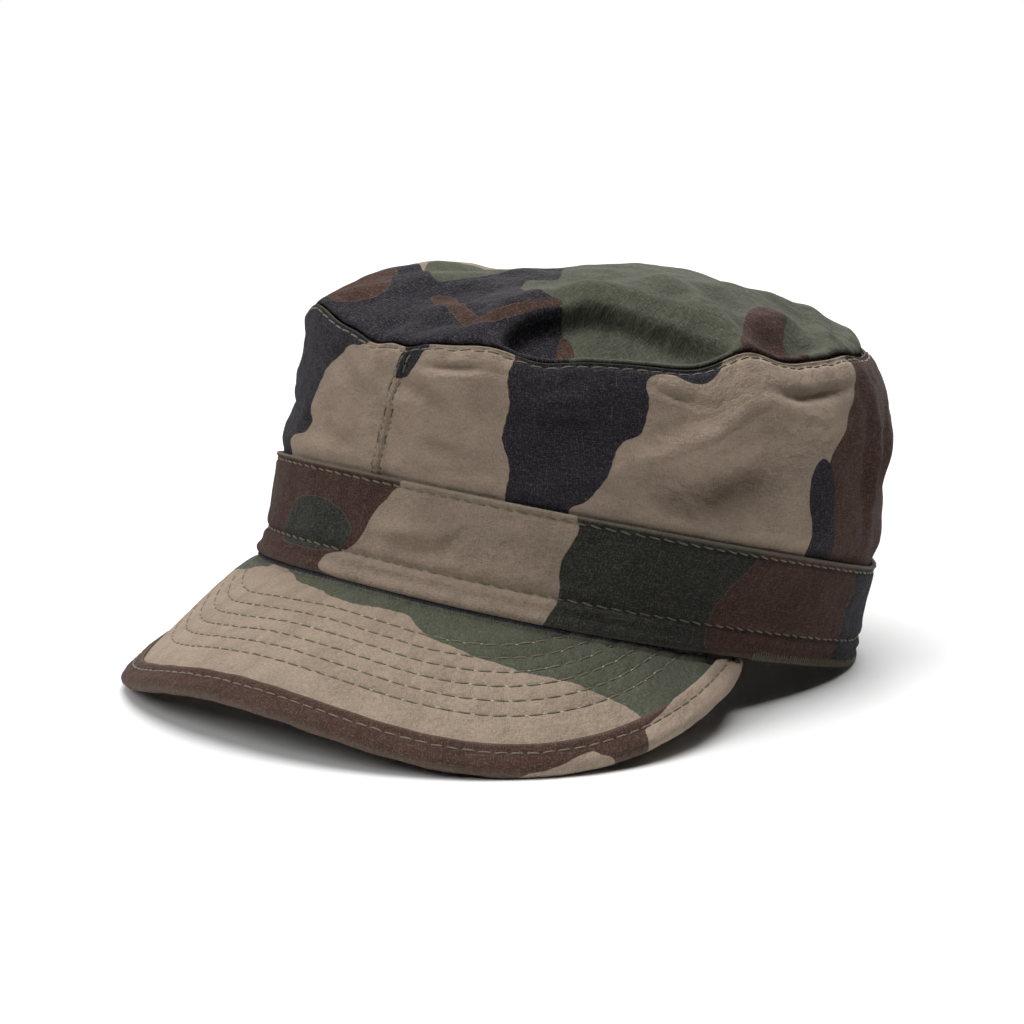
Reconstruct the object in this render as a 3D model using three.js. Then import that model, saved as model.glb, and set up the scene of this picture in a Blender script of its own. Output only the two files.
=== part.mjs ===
// Soft cotton field cap with a short stiffened peak, resting on a level surface.
//
// Millimetres, +Z up. The peak points along -Y and the wearer's left is +X.
// The cap lies by itself: the rear of its band and the two corners of its peak
// touch the surface, so the head opening is pitched up at the front. The crown
// is soft. It slumps back level, with dips along its top seam and folds in its
// top panel. The group's origin is the middle of its footprint.

import * as THREE from 'three';

// ---- Head opening, at the outer face of the band's lower edge ----
const OPENING_HALF_DEPTH = 94.7; // middle to front
const OPENING_HALF_WIDTH = 89.4; // middle to side
const OPENING_SQUARENESS = 2.44; // 2 is an ellipse, more is squarer

// ---- How the cap lies ----
const PITCH = THREE.MathUtils.degToRad(13.65); // front of the opening tipped up
const LEAN = THREE.MathUtils.degToRad(2.68); // opening tipped down on the left
const REST_SINK = 6.3; // how far the pitched opening would reach under the surface
const REST_BLEND = 3; // soft run-out of the stretch that lies flat

// ---- Band ----
const BAND_HEIGHT = 32.2;
const BAND_THICKNESS = 1.5;
const BAND_TOP_DEPTH_CHANGE = -3.7; // the upper edge against the lower one
const BAND_TOP_WIDTH_CHANGE = 3.3;
const FLARE = 2.0; // the lower edge stands out over the peak's seam
const FLARE_HEIGHT = 9;
const FLARE_EASE = { from: 0.4, to: -0.1 }; // radians about the peak's end, where it dies out

// ---- Crown side ----
const CLOTH = 1.5; // doubled cotton
const GAP = 0.3; // clearance between pieces
const TUCK = 8; // side wall inside the band
const FLUSH_RISE = 0.12; // share of the wall that bellies out over the band
const SHOULDER = { all: 2.2, front: -0.2, left: 1.3 }; // roundness under the top seam
const SHOULDER_START = 0.35;
const SHOULDER_FULL = 0.82;
const BULGE = { all: 1.4, front: -1.9, left: 2.1 }; // outward belly at mid height

// ---- Top seam, a nearly level oval over the pitched band ----
const SEAM_HALF_DEPTH = 92;
const SEAM_HALF_WIDTH = 81;
const SEAM_SQUARENESS = 2.24;
const SEAM_CENTRE = { x: 5.5, y: 9.5 };
const SEAM_HEIGHT = { all: 106.3, front: 5.0, left: -5.4 };
const SEAM_TWIST = THREE.MathUtils.degToRad(3); // the crown is turned a little on the band

// Each row is a crest or a dip of the seam. Angles run from the front, and
// positive ones towards the wearer's left.
const SEAM_WAVES = [
  { angle: -27, spread: 9, rise: 4.6 },
  { angle: -4, spread: 5, rise: -2.8 },
  { angle: 5, spread: 4, rise: -2.0 },
  { angle: 24, spread: 7, rise: 1.5 },
  { angle: 34, spread: 6, rise: -1.6 },
  { angle: 63, spread: 8, rise: -1.2 },
  { angle: 75, spread: 8, rise: 4.5 },
  { angle: 96, spread: 9, rise: 1.1 },
  { angle: 108, spread: 7, rise: 1.8 },
  { angle: 140, spread: 14, rise: 0.4 },
  { angle: 168, spread: 12, rise: 2.2 },
  { angle: -158, spread: 14, rise: -2.4 },
  { angle: -128, spread: 12, rise: 1.8 },
  { angle: -96, spread: 14, rise: -2.6 },
  { angle: -60, spread: 12, rise: 1.6 },
];

// Soft dents and swells of the side wall. Rise runs from 0 at the band to 1 at
// the top seam, and depth is outward.
const WALL_FOLDS = [
  { angle: -45, spread: 12, rise: 0.36, height: 0.26, depth: 0.6 },
  { angle: -44, spread: 12, rise: 0.86, height: 0.16, depth: -3.2 },
  { angle: 14, spread: 9, rise: 0.55, height: 0.35, depth: 1.2 },
  { angle: 50, spread: 14, rise: 0.6, height: 0.3, depth: -1.6 },
  { angle: 80, spread: 10, rise: 0.75, height: 0.25, depth: 1.6 },
  { angle: 112, spread: 9, rise: 0.3, height: 0.25, depth: -1.0 },
  { angle: 123, spread: 8, rise: 0.55, height: 0.16, depth: 1.8 },
  { angle: 150, spread: 14, rise: 0.4, height: 0.3, depth: -2.6 },
  { angle: 178, spread: 12, rise: 0.65, height: 0.35, depth: 2.0 },
  { angle: -150, spread: 14, rise: 0.35, height: 0.3, depth: -2.4 },
  { angle: -112, spread: 13, rise: 0.6, height: 0.35, depth: 2.0 },
  { angle: -80, spread: 11, rise: 0.4, height: 0.3, depth: -2.0 },
];

// ---- Top panel ----
const DOME = 19; // rise of the middle over the seam
const DOME_POWER = 2.5;
const FOLD_FADE = 0.86; // folds die out from here to the seam

// Ridges and valleys of the top panel, each a soft ellipse. x and y are from
// the seam's centre, turn is the direction of its length from +X.
const TOP_FOLDS = [
  { x: 36, y: -28, turn: 76, length: 46, width: 9, height: 3.5 },
  { x: 57, y: -48, turn: 62, length: 34, width: 10, height: -5.5 },
  { x: -18, y: -58, turn: 35, length: 30, width: 10, height: 3.0 },
  { x: 8, y: -36, turn: 60, length: 32, width: 9, height: -2.6 },
  { x: -48, y: -22, turn: 70, length: 24, width: 13, height: 5.4 },
  { x: -27, y: -2, turn: 62, length: 38, width: 12, height: -5.4 },
  { x: 0, y: 24, turn: 50, length: 36, width: 16, height: 1.8 },
  { x: 62, y: 30, turn: 100, length: 18, width: 8, height: -3.0 },
  { x: 62, y: -16, turn: -20, length: 16, width: 7, height: 2.4 },
  { x: 24, y: 58, turn: -30, length: 30, width: 11, height: -1.0 },
  { x: -44, y: 44, turn: 30, length: 30, width: 13, height: -3.0 },
];

// ---- Peak ----
const PEAK_REACH = 52.5; // front of the band to the peak's front edge, in plan
const PEAK_ROUNDNESS = 1.12; // 1 is an ellipse's front, more is rounder
const PEAK_FLARE = { left: 0.69, right: 0.62 }; // widens the outline beyond the band
const PEAK_END = THREE.MathUtils.degToRad(79.5); // where it meets the band
const PEAK_ARCH = 12; // height of the front edge at the middle
const PEAK_CORNER = 0.49; // share of the half edge from the middle to the corner
const PEAK_DROOP = { left: 1.0, right: 2.4 }; // how late the edge rises behind its corners
const PEAK_TUCK = { station: -0.62, spread: 0.16, inward: 4.5, back: 2.7 }; // pulls the right corner in
const PEAK_SIDE = { start: 0.4, full: 0.65, height: 4.2, span: 30 }; // fullness behind the right corner
const PEAK_FAN = 0.2; // how the rulings crowd towards the middle of the band
const PEAK_CROWN = 1.0; // fullness between band and front edge
const PEAK_CROWN_SPAN = 60; // shorter rulings have less of it
const PEAK_THICKNESS = 2.6; // board between two cloths
const PEAK_INSET = 2.0; // its inner edge lies under the band
const PEAK_SHORTEST = 13.5; // the peak's board ends where its rulings get this short
const SEAM_DROP_EASE = { from: 0.72, to: 0.9 }; // share of the half edge where the binding nears the band

// ---- Binding, a folded tape around the peak's edge ----
const BINDING_WIDTH = 9.5;
const BINDING_CLOTH = 0.9;
const BINDING_RADIUS = PEAK_THICKNESS / 2 + GAP + BINDING_CLOTH;
const EDGE_LIFT = 0.98; // middle of the sloping bound edge over its lowest point
const END_PINCH = 0.5; // the bound edge thins to this share as it runs in under the band
const PINCH_START = 0.9; // share of the half edge where that begins
const BINDING_SHORTEST = 4.0; // the binding ends where the rulings get this short
const LEG_MARGIN = 0.5; // a leg of the tape stops this short of the ruling's far end

// ---- Facets ----
const AROUND = 80;
const WALL_ROWS = 10;
const TOP_ROWS = 7;
const PEAK_COLUMNS = 44;
const PEAK_ROWS = 6;
const BAND_ROWS = 4;
const BINDING_COLUMNS = 44;
const BINDING_TURNS = 4;
const EDGE_STEPS = 200; // chords that measure the peak's outer edge

const TAU = Math.PI * 2;

function smooth(from, to, value) {
  const share = THREE.MathUtils.clamp((value - from) / (to - from), 0, 1);
  return share * share * (3 - 2 * share);
}

function bell(distance, spread) {
  return Math.exp(-((distance / spread) ** 2));
}

// Difference of two directions in degrees, from -180 to 180.
function turnBetween(degrees, other) {
  return THREE.MathUtils.euclideanModulo(degrees - other + 180, 360) - 180;
}

// Plan point of a superellipse. Angle 0 is the front.
function oval(angle, halfDepth, halfWidth, squareness) {
  const across = Math.sin(angle);
  const ahead = Math.cos(angle);
  const sum = Math.abs(across) ** squareness + Math.abs(ahead) ** squareness;
  const reach = sum ** (-1 / squareness);
  return { x: halfWidth * reach * across, y: -halfDepth * reach * ahead };
}

// Height of the pitched opening, pressed flat where the surface holds it up.
function settle(height) {
  if (height <= -REST_BLEND) return 0;
  if (height >= REST_BLEND) return height;
  return (height + REST_BLEND) ** 2 / (4 * REST_BLEND);
}

// A point over the opening: x and y in its plane, height square to it.
function overOpening(x, y, height) {
  const tipped = Math.sin(PITCH) * (OPENING_HALF_DEPTH - y) - Math.sin(LEAN) * x;
  return new THREE.Vector3(
    x * Math.cos(LEAN) + height * Math.sin(LEAN),
    y * Math.cos(PITCH) + height * Math.sin(PITCH),
    settle(tipped - REST_SINK) + height * Math.cos(PITCH),
  );
}

function bandPoint(angle, height, inset) {
  const share = height / BAND_HEIGHT;
  const overPeak = smooth(PEAK_END + FLARE_EASE.from, PEAK_END + FLARE_EASE.to, Math.abs(angle));
  const pinch = FLARE * (1 - share) * smooth(0, FLARE_HEIGHT, height) * overPeak;
  const plan = oval(
    angle,
    OPENING_HALF_DEPTH + BAND_TOP_DEPTH_CHANGE * share - inset - pinch,
    OPENING_HALF_WIDTH + BAND_TOP_WIDTH_CHANGE * share - inset - pinch,
    OPENING_SQUARENESS,
  );
  return overOpening(plan.x, plan.y, height);
}

function aroundSum(amounts, angle) {
  return amounts.all + amounts.front * Math.cos(angle) + amounts.left * Math.sin(angle);
}

function seamPoint(angle) {
  const plan = oval(angle, SEAM_HALF_DEPTH, SEAM_HALF_WIDTH, SEAM_SQUARENESS);
  const degrees = THREE.MathUtils.radToDeg(angle);
  let height = aroundSum(SEAM_HEIGHT, angle);
  for (const wave of SEAM_WAVES) {
    height += wave.rise * bell(turnBetween(degrees, wave.angle), wave.spread);
  }
  return new THREE.Vector3(SEAM_CENTRE.x + plan.x, SEAM_CENTRE.y + plan.y, height);
}

// Outer face of the side wall. Rise is 0 at the band's upper edge and 1 at the
// top seam, and below 0 the wall goes on inside the band.
function wallPoint(angle, rise) {
  const inset = BAND_THICKNESS + GAP;
  if (rise < 0) return bandPoint(angle, BAND_HEIGHT + rise * TUCK, inset);
  const foot = bandPoint(angle, BAND_HEIGHT, inset);
  const seam = seamPoint(angle + SEAM_TWIST);
  seam.z -= CLOTH + GAP;
  const point = foot.lerp(seam, rise);
  const degrees = THREE.MathUtils.radToDeg(angle);
  let out = aroundSum(BULGE, angle) * Math.sin(Math.PI * rise);
  out += inset * smooth(0, FLUSH_RISE, rise) * (1 - rise);
  const turned = Math.max(0, (rise - SHOULDER_FULL) / (1 - SHOULDER_FULL));
  const roundness = smooth(SHOULDER_START, SHOULDER_FULL, rise) * Math.sqrt(1 - turned ** 2);
  out += aroundSum(SHOULDER, angle) * roundness;
  for (const fold of WALL_FOLDS) {
    const sideways = bell(turnBetween(degrees, fold.angle), fold.spread);
    const upright = bell(rise - fold.rise, fold.height) * Math.sin(Math.PI * rise);
    out += fold.depth * sideways * upright;
  }
  const plan = oval(angle, OPENING_HALF_DEPTH, OPENING_HALF_WIDTH, OPENING_SQUARENESS);
  const outward = new THREE.Vector3(plan.x, plan.y, 0).normalize();
  return point.addScaledVector(outward, out);
}

// Upper face of the top panel, from its middle (radius 0) to the seam (1).
function topPoint(angle, radius) {
  const seam = seamPoint(angle);
  const x = (seam.x - SEAM_CENTRE.x) * radius;
  const y = (seam.y - SEAM_CENTRE.y) * radius;
  const plane = SEAM_HEIGHT.all;
  let height = plane + (seam.z - plane) * radius ** 2;
  height += DOME * (1 - radius ** DOME_POWER);
  const fade = 1 - smooth(FOLD_FADE, 1, radius);
  for (const fold of TOP_FOLDS) {
    const turn = THREE.MathUtils.degToRad(fold.turn);
    const along = (x - fold.x) * Math.cos(turn) + (y - fold.y) * Math.sin(turn);
    const across = (y - fold.y) * Math.cos(turn) - (x - fold.x) * Math.sin(turn);
    height += fold.height * fade * bell(along, fold.length) * bell(across, fold.width);
  }
  return new THREE.Vector3(SEAM_CENTRE.x + x, SEAM_CENTRE.y + y, height);
}

// Plan of the peak's outer edge, from -1 at its right end to 1 at its left end.
function peakPlan(station) {
  const end = bandPoint(PEAK_END, 0, PEAK_INSET);
  const front = bandPoint(0, 0, 0).y - PEAK_REACH;
  const turn = station * Math.PI / 2;
  const ahead = Math.abs(Math.cos(turn));
  const flare = station > 0 ? PEAK_FLARE.left : PEAK_FLARE.right;
  const tuck = bell(station - PEAK_TUCK.station, PEAK_TUCK.spread);
  return new THREE.Vector2(
    end.x * Math.sin(turn) * (1 + flare * ahead) + PEAK_TUCK.inward * tuck,
    end.y + (front - end.y) * ahead ** PEAK_ROUNDNESS + PEAK_TUCK.back * tuck,
  );
}

// Running lengths of the outer edge from its middle to one of its ends.
function runEdge(side) {
  const lengths = [0];
  for (let step = 1; step <= EDGE_STEPS; step += 1) {
    const from = peakPlan(side * (step - 1) / EDGE_STEPS);
    const to = peakPlan(side * step / EDGE_STEPS);
    lengths.push(lengths[step - 1] + from.distanceTo(to));
  }
  return lengths;
}

const EDGE_RUN = { left: runEdge(1), right: runEdge(-1) };

// The part of the half edge walked from the middle, negative on the right.
function edgeShare(station) {
  const lengths = station > 0 ? EDGE_RUN.left : EDGE_RUN.right;
  const place = Math.min(Math.abs(station), 1) * EDGE_STEPS;
  const step = Math.min(Math.floor(place), EDGE_STEPS - 1);
  const length = THREE.MathUtils.lerp(lengths[step], lengths[step + 1], place - step);
  return Math.sign(station) * length / lengths[EDGE_STEPS];
}

// Drop of the peak's middle surface under the band's edge: half the board, or
// half the bound edge where the binding runs under the band.
function seamDrop(share) {
  const bound = smooth(SEAM_DROP_EASE.from, SEAM_DROP_EASE.to, Math.abs(share));
  return GAP + THREE.MathUtils.lerp(PEAK_THICKNESS / 2, BINDING_RADIUS, bound);
}

function peakRuling(station) {
  const share = edgeShare(station);
  const angle = PEAK_END * (share * (1 - PEAK_FAN) + PEAK_FAN * share ** 3);
  const inner = bandPoint(angle, 0, PEAK_INSET);
  inner.z -= seamDrop(share);
  const end = bandPoint(Math.sign(station) * PEAK_END, 0, PEAK_INSET);
  const endHeight = end.z - seamDrop(1) - EDGE_LIFT;
  const walked = Math.abs(share);
  let height = PEAK_ARCH * (0.5 + 0.5 * Math.cos(Math.PI * walked / PEAK_CORNER));
  if (walked > PEAK_CORNER) {
    const droop = station > 0 ? PEAK_DROOP.left : PEAK_DROOP.right;
    const rising = ((walked - PEAK_CORNER) / (1 - PEAK_CORNER)) ** droop;
    height = endHeight * (0.5 - 0.5 * Math.cos(Math.PI * rising));
  }
  const plan = peakPlan(station);
  return { outer: new THREE.Vector3(plan.x, plan.y, height + EDGE_LIFT), inner };
}

// Middle surface of the peak, depth millimetres in from its outer edge.
function peakPoint(station, depth) {
  const ruling = peakRuling(station);
  const length = ruling.outer.distanceTo(ruling.inner);
  const share = Math.min(depth / length, 1);
  const point = ruling.outer.lerp(ruling.inner, share);
  const side = smooth(PEAK_SIDE.start, PEAK_SIDE.full, -edgeShare(station));
  const crown = PEAK_CROWN * Math.min(length / PEAK_CROWN_SPAN, 1)
    + PEAK_SIDE.height * side * Math.min(length / PEAK_SIDE.span, 1);
  point.z += crown * 4 * share * (1 - share);
  return point;
}

function peakLength(station) {
  const ruling = peakRuling(station);
  return ruling.outer.distanceTo(ruling.inner);
}

// The station furthest from the middle whose ruling is still this long.
function stationWithLength(length) {
  let station = 1;
  while (peakLength(station) < length) station -= 0.002;
  return station;
}

// A point moved off a surface along its normal.
function offSurface(surface, a, b, distance) {
  const nudge = 0.002;
  const alongA = surface(a + nudge, b).sub(surface(a - nudge, b));
  const alongB = surface(a, b + nudge).sub(surface(a, b - nudge));
  const normal = alongA.cross(alongB).normalize();
  return surface(a, b).addScaledVector(normal, distance);
}

// How much of its full thickness the bound edge keeps.
function edgeFullness(station) {
  return THREE.MathUtils.lerp(1, END_PINCH, smooth(PINCH_START, 1, Math.abs(edgeShare(station))));
}

// A closed body from positions and triangles, turned so that faces point out.
function closedBody(points, triangles) {
  let volume = 0;
  for (const [a, b, c] of triangles) {
    volume += points[a].dot(points[b].clone().cross(points[c]));
  }
  const faces = volume < 0 ? triangles.map(([a, b, c]) => [a, c, b]) : triangles;
  const geometry = new THREE.BufferGeometry().setFromPoints(points);
  geometry.setIndex(faces.flat());
  geometry.computeVertexNormals();
  return geometry;
}

// A closed wall between two faces, each a grid of points. A ring joins its last
// column to its first, and a pole draws its first row together to one point.
function wallBody({ columns, rows, outer, inner, ring = false, pole = false }) {
  const points = [];
  const numbers = [[], []];
  for (const [face, place] of [outer, inner].entries()) {
    for (let row = 0; row <= rows; row += 1) {
      const line = [];
      for (let column = 0; column < columns + (ring ? 0 : 1); column += 1) {
        const shared = pole && row === 0 && column > 0;
        if (!shared) points.push(place(column / columns, row / rows));
        line.push(shared ? line[0] : points.length - 1);
      }
      if (ring) line.push(line[0]);
      numbers[face].push(line);
    }
  }
  const triangles = [];
  const addQuad = (a, b, c, d) => {
    if (a !== b) triangles.push([a, b, c]);
    if (c !== d) triangles.push([a, c, d]);
  };
  const [front, back] = numbers;
  for (let row = 0; row < rows; row += 1) {
    for (let column = 0; column < columns; column += 1) {
      const next = column + 1;
      addQuad(front[row][column], front[row][next], front[row + 1][next], front[row + 1][column]);
      addQuad(back[row][next], back[row][column], back[row + 1][column], back[row + 1][next]);
    }
    if (!ring) {
      const last = columns;
      addQuad(back[row][0], front[row][0], front[row + 1][0], back[row + 1][0]);
      addQuad(front[row][last], back[row][last], back[row + 1][last], front[row + 1][last]);
    }
  }
  for (let column = 0; column < columns; column += 1) {
    const next = column + 1;
    const top = rows;
    if (!pole) addQuad(back[0][column], back[0][next], front[0][next], front[0][column]);
    addQuad(front[top][column], front[top][next], back[top][next], back[top][column]);
  }
  return closedBody(points, triangles);
}

function makeBand() {
  const heightAt = (up) => BAND_HEIGHT * up;
  return wallBody({
    columns: AROUND,
    rows: BAND_ROWS,
    ring: true,
    outer: (turn, up) => bandPoint(turn * TAU - Math.PI, heightAt(up), 0),
    inner: (turn, up) => bandPoint(turn * TAU - Math.PI, heightAt(up), BAND_THICKNESS),
  });
}

// One half of the crown side, from the front seam to the back seam.
function makeCrownSide(side) {
  const seamClearance = GAP / 2 / OPENING_HALF_WIDTH;
  const angleAt = (turn) => {
    const angle = THREE.MathUtils.clamp(turn * Math.PI, seamClearance, Math.PI - seamClearance);
    return side * angle;
  };
  const tuckShare = 1 / WALL_ROWS;
  const riseAt = (up) => (up < tuckShare ? up / tuckShare - 1 : (up - tuckShare) / (1 - tuckShare));
  return wallBody({
    columns: AROUND / 2,
    rows: WALL_ROWS,
    outer: (turn, up) => wallPoint(angleAt(turn), riseAt(up)),
    inner: (turn, up) => wallInside(angleAt(turn), riseAt(up)),
  });
}

// Inner face of the side wall, straight in from the outer one.
function wallInside(angle, rise) {
  const point = wallPoint(angle, rise);
  const plan = oval(angle, OPENING_HALF_DEPTH, OPENING_HALF_WIDTH, OPENING_SQUARENESS);
  return point.addScaledVector(new THREE.Vector3(plan.x, plan.y, 0).normalize(), -CLOTH);
}

function makeCrownTop() {
  const angleAt = (turn) => turn * TAU - Math.PI + SEAM_TWIST;
  const below = (turn, radius) => {
    const point = topPoint(angleAt(turn), radius);
    point.z -= CLOTH;
    return point;
  };
  return wallBody({
    columns: AROUND,
    rows: TOP_ROWS,
    ring: true,
    pole: true,
    outer: (turn, radius) => topPoint(angleAt(turn), radius),
    inner: below,
  });
}

function makePeak() {
  const last = stationWithLength(PEAK_SHORTEST);
  const face = (distance) => (turn, up) => {
    const station = THREE.MathUtils.lerp(-last, last, turn);
    const depth = THREE.MathUtils.lerp(BINDING_RADIUS, peakLength(station) - 0.01, up);
    return offSurface(peakPoint, station, depth, distance);
  };
  return wallBody({
    columns: PEAK_COLUMNS,
    rows: PEAK_ROWS,
    outer: face(PEAK_THICKNESS / 2),
    inner: face(-PEAK_THICKNESS / 2),
  });
}

// The tape runs in over the peak, round its edge and back under it.
function makeBinding() {
  const last = stationWithLength(BINDING_SHORTEST);
  const rows = BINDING_TURNS + 2;
  const tape = (radius) => (turn, up) => {
    const station = THREE.MathUtils.lerp(-last, last, turn);
    const leg = Math.min(BINDING_WIDTH, peakLength(station) - LEG_MARGIN);
    const row = Math.round(up * rows);
    const turned = THREE.MathUtils.clamp((row - 1) / BINDING_TURNS, 0, 1) * Math.PI;
    const onLeg = row === 0 || row === rows;
    const reach = radius * edgeFullness(station);
    const depth = onLeg ? leg : BINDING_RADIUS - reach * Math.sin(turned);
    return offSurface(peakPoint, station, depth, reach * Math.cos(turned));
  };
  return wallBody({
    columns: BINDING_COLUMNS,
    rows,
    outer: tape(BINDING_RADIUS),
    inner: tape(BINDING_RADIUS - BINDING_CLOTH),
  });
}

function cloth(colour) {
  return new THREE.MeshStandardMaterial({ color: colour, roughness: 0.92, metalness: 0 });
}

const PIECES = [
  { name: 'band', geometry: makeBand(), colour: '#3c4233' },
  { name: 'crown_side_left', geometry: makeCrownSide(1), colour: '#98876f' },
  { name: 'crown_side_right', geometry: makeCrownSide(-1), colour: '#8f8069' },
  { name: 'crown_top', geometry: makeCrownTop(), colour: '#46503f' },
  { name: 'peak', geometry: makePeak(), colour: '#9c8c76' },
  { name: 'peak_binding', geometry: makeBinding(), colour: '#4a3731' },
];

const cap = new THREE.Group();
for (const piece of PIECES) {
  const mesh = new THREE.Mesh(piece.geometry, cloth(piece.colour));
  mesh.name = piece.name;
  cap.add(mesh);
}

// The origin is the middle of the footprint, on the surface.
const extent = new THREE.Box3().setFromObject(cap);
const middle = extent.getCenter(new THREE.Vector3());
cap.position.set(-middle.x, -middle.y, -extent.min.z);

export default cap;
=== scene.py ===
"""Field cap: printed cotton panels, seams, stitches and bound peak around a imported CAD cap.

Sizes of the cap's form are millimetres in its own frame: the peak points along -Y, the wearer's left
is +X and +Z is up. Each panel has a chart of its own, two running sizes in millimetres, on which its
print, folds and stitch rows are laid out. Meshes are in metres.
"""

import bmesh
import bpy
import numpy as np
from mathutils import Matrix, Vector


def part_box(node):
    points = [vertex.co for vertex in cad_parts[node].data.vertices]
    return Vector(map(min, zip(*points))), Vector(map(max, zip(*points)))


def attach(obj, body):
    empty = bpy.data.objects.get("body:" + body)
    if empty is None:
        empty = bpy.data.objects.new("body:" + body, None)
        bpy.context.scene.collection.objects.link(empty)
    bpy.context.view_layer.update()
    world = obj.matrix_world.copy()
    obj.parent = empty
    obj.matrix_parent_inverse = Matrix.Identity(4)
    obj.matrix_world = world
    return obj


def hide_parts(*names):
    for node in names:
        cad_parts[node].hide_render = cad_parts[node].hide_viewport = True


bl_info = {
    "name": "Field Cap",
    "version": (1, 0, 0),
    "blender": (4, 5, 0),
    "location": "View3D > Sidebar > Field Cap",
    "description": "Sews a soft camouflage field cap around its CAD frame",
    "category": "Add Mesh",
}

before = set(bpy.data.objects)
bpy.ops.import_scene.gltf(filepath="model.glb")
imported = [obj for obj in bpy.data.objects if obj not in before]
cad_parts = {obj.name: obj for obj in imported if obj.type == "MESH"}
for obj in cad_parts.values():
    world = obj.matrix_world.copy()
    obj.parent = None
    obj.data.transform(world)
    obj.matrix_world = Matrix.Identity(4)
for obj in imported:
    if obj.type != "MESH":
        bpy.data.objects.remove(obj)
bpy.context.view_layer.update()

MM = 0.001

# ---- Head opening, at the outer face of the band's lower edge ----
OPENING_HALF_DEPTH = 94.7
OPENING_HALF_WIDTH = 89.4
OPENING_SQUARENESS = 2.44

# ---- How the cap lies ----
PITCH = np.radians(13.65)
LEAN = np.radians(2.68)
REST_SINK = 6.3  # the band's rear would lie this far under the surface, and is pressed flat on it
REST_BLEND = 3.0  # it comes up off the surface smoothly, from this far under it to this far over

# ---- Band ----
BAND_HEIGHT = 32.2
BAND_THICKNESS = 1.5
BAND_TOP_DEPTH_CHANGE = -3.7
BAND_TOP_WIDTH_CHANGE = 3.3
FLARE = 2.0
FLARE_HEIGHT = 9.0

# ---- Crown side ----
CLOTH = 1.5
GAP = 0.3
TUCK = 8.0
FLUSH_RISE = 0.12
SHOULDER = {"all": 2.2, "front": -0.2, "left": 1.3}
SHOULDER_START = 0.35
SHOULDER_FULL = 0.82
BULGE = {"all": 1.4, "front": -1.9, "left": 2.1}
WALL_HEIGHT = 72.0  # the wall's chart from the band's edge to the top seam
WELT_HALF_WIDTH = 0.6  # the wall's cloth turns over the top seam in a small roll
WELT_HEIGHT = 0.7
WELT_GIRTH = 2.5

# ---- Top seam ----
SEAM_HALF_DEPTH = 92.0
SEAM_HALF_WIDTH = 81.0
SEAM_SQUARENESS = 2.24
SEAM_CENTRE = np.array([5.5, 9.5])
SEAM_HEIGHT = {"all": 106.3, "front": 5.0, "left": -5.4}
SEAM_TWIST = np.radians(3)

# Crests and dips of the seam: angle from the front, spread, rise.
SEAM_WAVES = (
    (-27, 9, 4.6), (-4, 5, -2.8), (5, 4, -2.0), (24, 7, 1.5), (34, 6, -1.6), (63, 8, -1.2), (75, 8, 4.5),
    (96, 9, 1.1), (108, 7, 1.8), (140, 14, 0.4), (168, 12, 2.2), (-158, 14, -2.4), (-128, 12, 1.8),
    (-96, 14, -2.6), (-60, 12, 1.6),
)

# Soft dents and swells of the side wall: angle, spread, rise (0 to 1), height, depth outward.
WALL_FOLDS = (
    (-45, 12, 0.36, 0.26, 0.6), (-44, 12, 0.86, 0.16, -3.2), (14, 9, 0.55, 0.35, 1.2),
    (50, 14, 0.6, 0.3, -1.6), (80, 10, 0.75, 0.25, 1.6), (112, 9, 0.3, 0.25, -1.0),
    (123, 8, 0.55, 0.16, 1.8), (150, 14, 0.4, 0.3, -2.6), (178, 12, 0.65, 0.35, 2.0),
    (-150, 14, 0.35, 0.3, -2.4), (-112, 13, 0.6, 0.35, 2.0), (-80, 11, 0.4, 0.3, -2.0),
)

# ---- Top panel ----
DOME = 19.0
DOME_POWER = 2.5
FOLD_FADE = 0.86
TOP_RIM_INSET = 1.2  # the panel's edge is sewn in behind the welt

# Ridges and valleys of the top panel: x, y, turn, length, width, height.
TOP_FOLDS = (
    (36, -28, 76, 46, 9, 3.5), (57, -48, 62, 34, 10, -5.5), (-18, -58, 35, 30, 10, 3.0),
    (8, -36, 60, 32, 9, -2.6), (-48, -22, 70, 24, 13, 5.4), (-27, -2, 62, 38, 12, -5.4),
    (0, 24, 50, 36, 16, 1.8), (62, 30, 100, 18, 8, -3.0), (62, -16, -20, 16, 7, 2.4),
    (24, 58, -30, 30, 11, -1.0), (-44, 44, 30, 30, 13, -3.0),
)

# ---- Peak ----
PEAK_REACH = 52.5
PEAK_ROUNDNESS = 1.12
PEAK_FLARE_LEFT = 0.69
PEAK_FLARE_RIGHT = 0.62
PEAK_END = np.radians(79.5)
PEAK_ARCH = 12.0
PEAK_CORNER = 0.49
PEAK_DROOP_LEFT = 1.0  # how late the edge rises behind its corners
PEAK_DROOP_RIGHT = 2.4
PEAK_TUCK = {"station": -0.62, "spread": 0.16, "inward": 4.5, "back": 2.7}  # pulls the right corner in
PEAK_SIDE = {"start": 0.4, "full": 0.65, "height": 4.2, "span": 30.0}  # fullness behind the right corner
BINDING_ROOM = {"start": 0.72, "full": 0.9}  # towards its ends the peak drops to let the binding in
PEAK_FAN = 0.2
PEAK_CROWN = 1.0
PEAK_CROWN_SPAN = 60.0
PEAK_THICKNESS = 2.6
PEAK_INSET = 2.0
PEAK_SHORTEST = 13.5
PAINTED_SHADOW_WIDTH = 1.6  # painted shadow: black print on the cloth's sewn edge beside the band, for the shade in the crevice under the band's edge
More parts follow.
